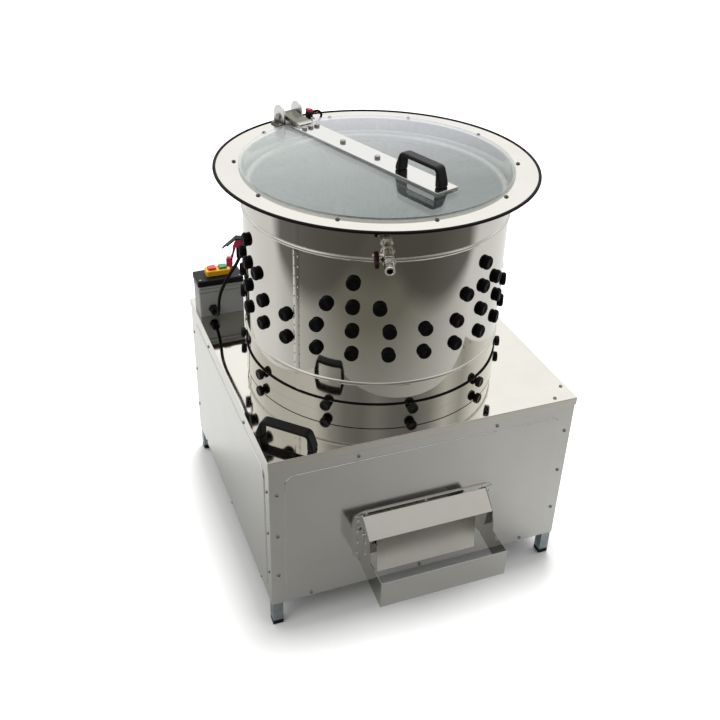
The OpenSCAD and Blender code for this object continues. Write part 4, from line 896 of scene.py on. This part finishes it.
class PLUCKER_OT_drum(Operator):
    """Builds the drum with its riveted lap seam, collar, gasket, splash flange and trim, and finishes the spray ring"""
    bl_idname = "plucker.drum"
    bl_label = "Drum"

    def execute(self, context):
        drum = context.scene.plucker_drum
        r, wall, foot, top = drum.radius / MM, drum.wall / MM, drum.foot / MM, drum.top / MM
        rim, bead = drum.rim / MM, drum.bead / MM
        outer = [(r, foot + 0.4)]
        for z in (drum.low_bead / MM, drum.high_bead / MM):
            outer.append((r, z - bead * 1.25))
            for k in range(-8, 9):
                a = math.radians(k * 7.5)
                outer.append((r - 3 + bead * math.cos(a), z + bead * math.sin(a)))
            outer.append((r, z + bead * 1.25))
        outer += [(r, top - 6), (r + 0.6, top - 3.6), (r + 2.2, top - 2.2), (r + 4, top - 2), (rim - 0.4, top - 2),
                  (rim, top - 1.6), (rim, top - 0.4), (rim - 0.4, top)]
        inner = [(r - wall + 0.4, top), (r - wall, top - 1)] + [(r - wall, z) for z in (900, 800, 700, 600)]
        inner += [(r - wall, foot + 0.4), (r - wall + 0.4, foot), (r - 0.4, foot), (r, foot + 0.4)]
        bm = bmesh.new()
        lathe(bm, outer + inner, steps=240)
        lap_angle = math.degrees(LAP_WIDTH / r)
        for low, high, deep in LAP_STRIPS:
            rows = []
            for k in range(5):
                a = drum.lap + lap_angle * (k / 4 - 0.5)
                lift = r + (0.02 if k in (0, 4) else deep)
                rows.append([bm.verts.new(bearing(a, lift, z)) for z in (low, low + 0.6, high - 0.6, high)])
            for a, b in zip(rows, rows[1:]):
                for k in range(3):
                    bm.faces.new((a[k], b[k], b[k + 1], a[k + 1]))
        piece("polished_drum", bm, "drum_sheet", "drum_shell", 28)
        low, high = RIVET_SPAN
        seats = [seat_out(drum.lap + s * RIVET_APART, RIVET_SEAT, low + k * (high - low) / (drum.rivets - 1))
                 for s in (-1, 1) for k in range(drum.rivets)]
        form = unit_form(16, [(0, 0), (1, 0), (0.97, 0.35), (0.75, 0.75), (0.4, 0.95), (0, 1)])
        seated("lap_rivets", form, seats, 0.0022, 0.001, "drum_sheet", "drum_rivets", 60)
        dressed("drum_collar", "base_collar", "drum_sheet", 0.4)
        dressed("collar_gasket", "seam_gasket", "black_rubber_skin", 0.5)
        dressed("splash_flange", "flange_ring", "mirror_sheet", 0.3)
        lip = [(353.2, 957), (353, 955), (353.6, 954.2), (355, 954), (358, 954.4), (359.6, 955.6), (360, 957),
               (359.6, 958.4), (358, 959.6), (355, 960), (353.6, 959.8), (353, 959), (353.2, 957)]
        turned("flange_edge_trim", lip, "black_rubber_skin", "flange_trim", steps=192, angle=60)
        NODES["spray_ring"].material_slots[0].material = finish("satin_metal")
        return {"FINISHED"}


# Fingers, in millimetres: where the drum's heads sit and the length of their necks, and the plate's underside,
# (head, neck, shank) and (count, radius) rings
DRUM_SEAT = 300.2
DRUM_NECK = 2.7
PLATE_UNDER = 500
PLATE_FINGER = 11, 5.2, 100
PLATE_RINGS = (18, 250), (12, 180), (8, 110)


def finger_form(size, tall, neck, shank):
    """One plucking finger about Z, in millimetres: head above 0, neck through the sheet, shank below."""
    head, root, tip = size.head / MM, size.root / MM, size.tip / MM
    rows = [(0, tall - 0.9), (4.5, tall - 0.9), (5.5, tall - 0.2), (head - 4.6, tall), (head - 2.2, tall - 0.8),
            (head - 0.6, tall - 3.0), (head, tall * 0.5), (head - 0.3, 1.6), (head - 1.2, 0), (9, 0), (9, -neck),
            (13.5, -neck), (13.5, -neck - 5), (12.4, -neck - 6), (root, -neck - 7)]
    start, pitch = -neck - 10, (shank - neck - 14) / size.ridges
    for k in range(size.ridges):
        a = start - pitch * k
        girth = root + (tip - root) * k / size.ridges
        rows += [(girth, a), (girth + 0.9, a - pitch * 0.3), (girth + 0.9, a - pitch * 0.45),
                 (girth - 0.5, a - pitch * 0.75)]
    rows += [(tip, -shank + 3), (tip - 0.8, -shank + 1), (tip - 3, -shank), (0, -shank)]
    form = bmesh.new()
    lathe(form, rows, steps=20)
    return form


class PLUCKER_OT_fingers(Operator):
    """Seats the rubber plucking fingers in the drum and on the feather plate"""
    bl_idname = "plucker.fingers"
    bl_label = "Plucking fingers"

    def execute(self, context):
        size = context.scene.plucker_fingers
        all_round = [-30 + 15 * k for k in range(24)]
        peaks = [-30 + 60 * k for k in range(6)]
        threes = [az + apart for az in peaks for apart in (-10.7, 0, 10.7)]
        rows = (647, all_round), (703.5, all_round), (760, threes), (816.5, peaks)
        seats = [seat_out(az, DRUM_SEAT, z) for z, row in rows for az in row]
        form = finger_form(size, size.head_height / MM, DRUM_NECK, size.shank / MM)
        seated("drum_plucking_fingers", form, seats, 1.0, 1.0, "black_rubber_skin", "drum_fingers", 40)
        seats = [(bearing(360 * k / count, ring, PLATE_UNDER), DOWN, 0.0) for count, ring in PLATE_RINGS
                 for k in range(count)]
        form = finger_form(size, *PLATE_FINGER)
        seated("plate_plucking_fingers", form, seats, 1.0, 1.0, "black_rubber_skin", "plate_fingers", 40)
        return {"FINISHED"}


# Clamp knobs: where they sit, in millimetres, and their flutes, in shares of a knob's radius and height
KNOB_SEAT, KNOB_HEIGHT = 303.4, 509
FLUTE_DEPTH, FLUTE_REACH, FLUTE_FOOT = 0.055, 0.84, 0.22


class PLUCKER_OT_knobs(Operator):
    """Seats the fluted clamp knobs round the collar"""
    bl_idname = "plucker.knobs"
    bl_label = "Clamp knobs"

    def execute(self, context):
        knob = context.scene.plucker_knobs
        grip = [(0, 0), (0.6, 0), (0.6, 0.2), (0.86, 0.23), (0.97, 0.3), (1, 0.38), (1, 0.8), (0.96, 0.9), (0.86, 0.97),
                (0.66, 1.0), (0.6, 0.97), (0, 0.97)]
        stud = [(0, -0.714), (0.4, -0.714), (0.56, -0.672, 6), (0.56, -0.392, 6), (0.4, -0.364), (0.32, -0.35),
                (0.32, 0.01), (0, 0.01)]
        form = unit_form(knob.flutes * 4, grip, stud)
        for v in form.verts:
            if math.hypot(v.co.x, v.co.y) > FLUTE_REACH and v.co.z > FLUTE_FOOT:
                dip = 1 - FLUTE_DEPTH * max(0.0, math.cos(knob.flutes * math.atan2(v.co.y, v.co.x))) ** 2
                v.co.x, v.co.y = v.co.x * dip, v.co.y * dip
        seats = [seat_out(-4 + 360 / knob.count * k, KNOB_SEAT, KNOB_HEIGHT) for k in range(knob.count)]
        seated("fluted_clamp_knobs", form, seats, knob.radius, knob.height, "black_moulding", "clamp_knobs", 40)
        return {"FINISHED"}


# The cabinet's sides: the way each one faces, how far out its screws sit and its width, in millimetres
SIDES = (0, -1, 363, 736), (0, 1, 363, 736), (-1, 0, 368, 722), (1, 0, 368, 722)


class PLUCKER_OT_screws(Operator):
    """Seats the screws of the cabinet's panels and top plate and of the splash flange"""
    bl_idname = "plucker.screws"
    bl_label = "Screws"

    def execute(self, context):
        seats = []
        for x, y, reach, wide in SIDES:
            out, side = Vector((x, y, 0)), Vector((-y, x, 0))
            spots = [(s * (wide / 2 - 17), z) for s in (-1, 1) for z in (158, 276, 394)]
            spots += [(-274, 77.5), (0, 77.5), (274, 77.5), (-167, 452.5), (167, 452.5)]
            for k, (along, z) in enumerate(spots):
                seats.append(((out * reach + side * along) * MM + at(0, 0, z), out, 0.6 * k))
        for k, (x, y) in enumerate(((356, -313), (318, -351))):
            seats.append((at(x, y, CABINET_TOP), UP, 0.9 * k))
        seated("panel_screws", button_head(), seats, 0.0045, 0.0025, "aged_metal", "cabinet_screws")
        seats = [(bearing(36 * k, 314, FLANGE_TOP), UP, 0.7 * k) for k in range(10)]
        seated("splash_flange_screws", button_head(), seats, 0.0048, 0.003, "dark_metal", "flange_screws")
        return {"FINISHED"}


class PLUCKER_OT_lid(Operator):
    """Builds the clear lid with its strap, bolts and hinge"""
    bl_idname = "plucker.lid"
    bl_label = "Lid"

    def execute(self, context):
        lid = context.scene.plucker_lid
        r, t, z = lid.radius / MM, lid.thick / MM, lid.foot / MM
        edge = [(0, z), (r - 1.2, z), (r - 0.3, z + 0.4), (r, z + 1.2), (r, z + t - 1.2), (r - 0.3, z + t - 0.4),
                (r - 1.2, z + t), (0, z + t)]
        turned("clear_lid_sheet", edge, "hazy_lid_sheet", "lid_disc", steps=192, angle=50)
        dressed("lid_cross_strap", "lid_strap", "strap_sheet", 0.9, 3)
        dressed("lid_hex_bolts", "lid_bolts", "aged_metal", 0.5)
        dressed("hinge_ears", "hinge_bracket", "hinge_sheet", 0.9, 3)
        dressed("hinge_bolt", "hinge_pin", "aged_metal", 0.6)
        dressed("small_machine_screws", "small_screws", "aged_metal", 0.35)
        return {"FINISHED"}


class PLUCKER_OT_lid_circuit(Operator):
    """Builds the lid switch, lead clips and the red and black coupler"""
    bl_idname = "plucker.lid_circuit"
    bl_label = "Lid circuit"

    def execute(self, context):
        dressed("lid_switch_case", "lid_switch", "black_moulding", 1.6, 3)
        dressed("lid_switch_red_cap", "lid_switch_cap", "crimson_moulding", 1.6, 3)
        dressed("lid_switch_plunger", "switch_plunger", "bright_metal", 0.6, 3)
        dressed("lead_p_clips", "lead_clips", "black_moulding", 0.8, 2)
        dressed("coupler_red_socket", "coupler_socket", "crimson_moulding", 2.2, 3)
        dressed("coupler_black_plug", "coupler_plug", "black_moulding", 1.0, 2)
        return {"FINISHED"}


class PLUCKER_OT_control_box(Operator):
    """Builds the control box with its cover, push buttons and cable gland"""
    bl_idname = "plucker.control_box"
    bl_label = "Control box"

    def execute(self, context):
        box, station = shift(-307, 289, 0), shift(-307, 293, 0)
        stop, start = (station @ shift(x, 0, 0) for x in (-14, 14))
        case = [(113, 61, 486, 3), (115, 63, 486.6, 4), (114.4, 62.4, 488, 4), (114.4, 62.4, 552, 4),
                (113.6, 61.6, 552.6, 4), (109.5, 57.5, 553.4, 3.2), (109.5, 57.5, 556, 3.2), (115.4, 63.4, 556.4, 4),
                (116, 64, 557.2, 4.2), (116, 64, 563.6, 4.2), (111.4, 59.4, 564.4, 4), (111.4, 59.4, 566.4, 4),
                (116, 64, 567, 4.2), (116, 64, 573, 4.2), (109, 57, 573, 2), (109, 57, 490, 2)]
        stacked("control_box_body", case, "grey_moulding", "box_body", box)
        cover = [(110, 58, 573, 3), (118, 66, 573, 4.5), (119, 67, 573.8, 5), (119, 67, 582.6, 5),
                 (118.6, 66.6, 584.4, 5), (117.4, 65.4, 586.2, 5), (115.2, 63.2, 587.5, 4.6), (112, 60, 588, 4)]
        stacked("control_box_cover", cover, "black_moulding", "box_cover", box)
        housing = [(60, 30, 588, 3), (62, 32, 588.6, 4), (62, 32, 594, 4), (61, 31, 594.5, 3.6), (61, 31, 595.3, 3.6),
                   (62, 32, 595.8, 4), (62, 32, 599.2, 4), (61.4, 31.4, 600.8, 4), (60, 30, 601.7, 3.6),
                   (57.5, 27.5, 602, 3)]
        collar = [(24, 24, 601.4, 3), (24, 24, 602, 3), (23.4, 23.4, 602.6, 3), (21.4, 21.4, 602.6, 2.2),
                  (21, 21, 602, 2.2), (21, 21, 601.4, 2.2)]
        button = [(19.4, 19.4, 595, 2.4), (20, 20, 595.6, 2.6), (20, 20, 605.4, 2.6), (19.6, 19.6, 606.9, 2.6),
                  (18.4, 18.4, 607.8, 2.4), (16.6, 16.6, 608, 2.2), (15.2, 15.2, 607.6, 2), (9, 9, 607.1, 1.6)]
        bm = bmesh.new()
        for sections, place in ((housing, station), (collar, stop), (collar, start)):
            stack(bm, sections, place)
        piece("push_button_housing", bm, "yellow_moulding", "switch_housing", 40)
        stacked("start_push_button", button, "green_moulding", "start_button", start)
        stacked("stop_push_button", button, "red_moulding", "stop_button", stop)
        dressed("lead_gland", "cable_gland", "black_moulding", 0.7, 2)
        return {"FINISHED"}


class PLUCKER_OT_water(Operator):
    """Builds the ball valve with its lever and hose nipple"""
    bl_idname = "plucker.water"
    bl_label = "Water valve"

    def execute(self, context):
        spot = place_out(-18, 300, 914, 10)
        bm = bmesh.new()
        lathe(bm, [(6, -9), (8, -9), (8, 2.5), (12.6, 2.5, 6), (13, 3, 6), (13, 10, 6), (12.6, 10.5, 6), (8, 10.5),
                   (8, 27.6), (12.2, 27.9), (14.2, 28, 6), (14.5, 28.6, 6), (14.5, 36.4, 6), (14.2, 37, 6),
                   (11.6, 37.2), (11.4, 39), (11.9, 42), (12, 48), (11.9, 54), (11.4, 57), (11.6, 58.8), (14.2, 59, 6),
                   (14.5, 59.6, 6), (14.5, 67.4, 6), (14.2, 68, 6), (9.2, 68), (6, 66), (6, -9)], spot)
        lathe(bm, [(0, 8), (6, 8), (6, 17), (5.4, 18), (3, 18.2), (3, 30), (2.5, 31), (0, 31)],
              spot @ shift(0, 0, 48) @ spin(-90, "Y"), 32)
        piece("ball_valve", bm, "nickel", "valve_body", 30)
        dressed("valve_lever_sleeve", "valve_lever", "dark_red_sleeve", 2.2, 3)
        nipple = [(6, 60.2), (8.8, 60.2), (9, 60.6), (9, 68.1), (13, 68.2, 6), (13.5, 68.7, 6), (13.5, 72.6, 6),
                  (13, 73, 6), (10.3, 73.2), (10.5, 73.8), (10.5, 76.2), (9.7, 76.8), (9.7, 78), (10.5, 78.6),
                  (10.5, 80.6), (9.9, 81.2), (9.9, 82), (10.5, 82.8), (10.5, 98.4), (9.9, 99.6), (9, 100), (7, 100),
                  (6.3, 99.4), (6, 98), (6, 60.2)]
        turned("hose_end", nipple, "nickel", "hose_nipple", spot)
        return {"FINISHED"}


class PLUCKER_OT_chute(Operator):
    """Builds the feather chute with its hood and hanging flap"""
    bl_idname = "plucker.chute"
    bl_label = "Chute"

    def execute(self, context):
        edge = context.scene.plucker_steel.edge / MM
        dressed("chute_frame_plate", "chute_mount", "mirror_sheet", edge)
        dressed("chute_trough", "chute_body", "brushed_front", edge)
        dressed("chute_hood_sheet", "chute_hood", "mirror_sheet", edge)
        dressed("chute_hanging_flap", "chute_flap", "satin_sheet", edge)
        dressed("flap_hinge_rod", "flap_rod", "bright_metal", 0.6)
        dressed("chute_pan_screws", "chute_screws", "bright_metal", 0.4)
        return {"FINISHED"}


class PLUCKER_OT_drive(Operator):
    """Builds the feather pan, turning plate, bearing column, belt drive and motor"""
    bl_idname = "plucker.drive"
    bl_label = "Drive"

    def execute(self, context):
        dressed("feather_slide", "feather_pan", "mirror_sheet", 0.5)
        dressed("turning_plate", "feather_plate", "mirror_sheet", 0.6)
        dressed("plate_shaft", "drive_shaft", "bright_metal", 0.8)
        dressed("shaft_bearings", "bearings", "bright_metal", 0.5)
        dressed("shaft_column", "bearing_column", "brushed_front", 0.8)
        dressed("cross_beams", "drive_beams", "brushed_front", 0.8)
        dressed("plate_pulley", "drive_pulley", "cast_pulley", 0.6)
        dressed("drive_v_belt", "drive_belt", "black_rubber_skin", 0.5)
        dressed("rotor_pulley", "motor_pulley", "cast_pulley", 0.5)
        dressed("gear_motor", "motor_body", "motor_enamel", 1.5, 3)
        return {"FINISHED"}


OPERATORS = (PLUCKER_OT_stage, PLUCKER_OT_leads, PLUCKER_OT_cabinet, PLUCKER_OT_handles, PLUCKER_OT_drum,
             PLUCKER_OT_fingers, PLUCKER_OT_knobs, PLUCKER_OT_screws, PLUCKER_OT_lid, PLUCKER_OT_lid_circuit,
             PLUCKER_OT_control_box, PLUCKER_OT_water, PLUCKER_OT_chute, PLUCKER_OT_drive)


class PLUCKER_PT_pieces(Panel):
    """Lists the plucker's pieces and the sizes and colours they are made from"""
    bl_idname = "PLUCKER_PT_pieces"
    bl_label = "Poultry plucker"
    bl_space_type = "VIEW_3D"
    bl_region_type = "UI"
    bl_category = "Plucker"

    def draw(self, context):
        column = self.layout.column()
        for operator in OPERATORS:
            column.operator(operator.bl_idname)
        for group, kind in GROUPS.items():
            box = column.box()
            box.label(text=kind.__name__)
            for size in kind.__annotations__:
                box.prop(getattr(context.scene, group), size)


CLASSES = tuple(GROUPS.values()) + OPERATORS + (PLUCKER_PT_pieces,)


def register():
    for kind in CLASSES:
        bpy.utils.register_class(kind)
    for group, kind in GROUPS.items():
        setattr(bpy.types.Scene, group, PointerProperty(type=kind))


def unregister():
    for group in GROUPS:
        delattr(bpy.types.Scene, group)
    for kind in reversed(CLASSES):
        bpy.utils.unregister_class(kind)


def main():
    register()
    for operator in OPERATORS:
        family, name = operator.bl_idname.split(".")
        getattr(getattr(bpy.ops, family), name)()


if __name__ == "__main__":
    main()
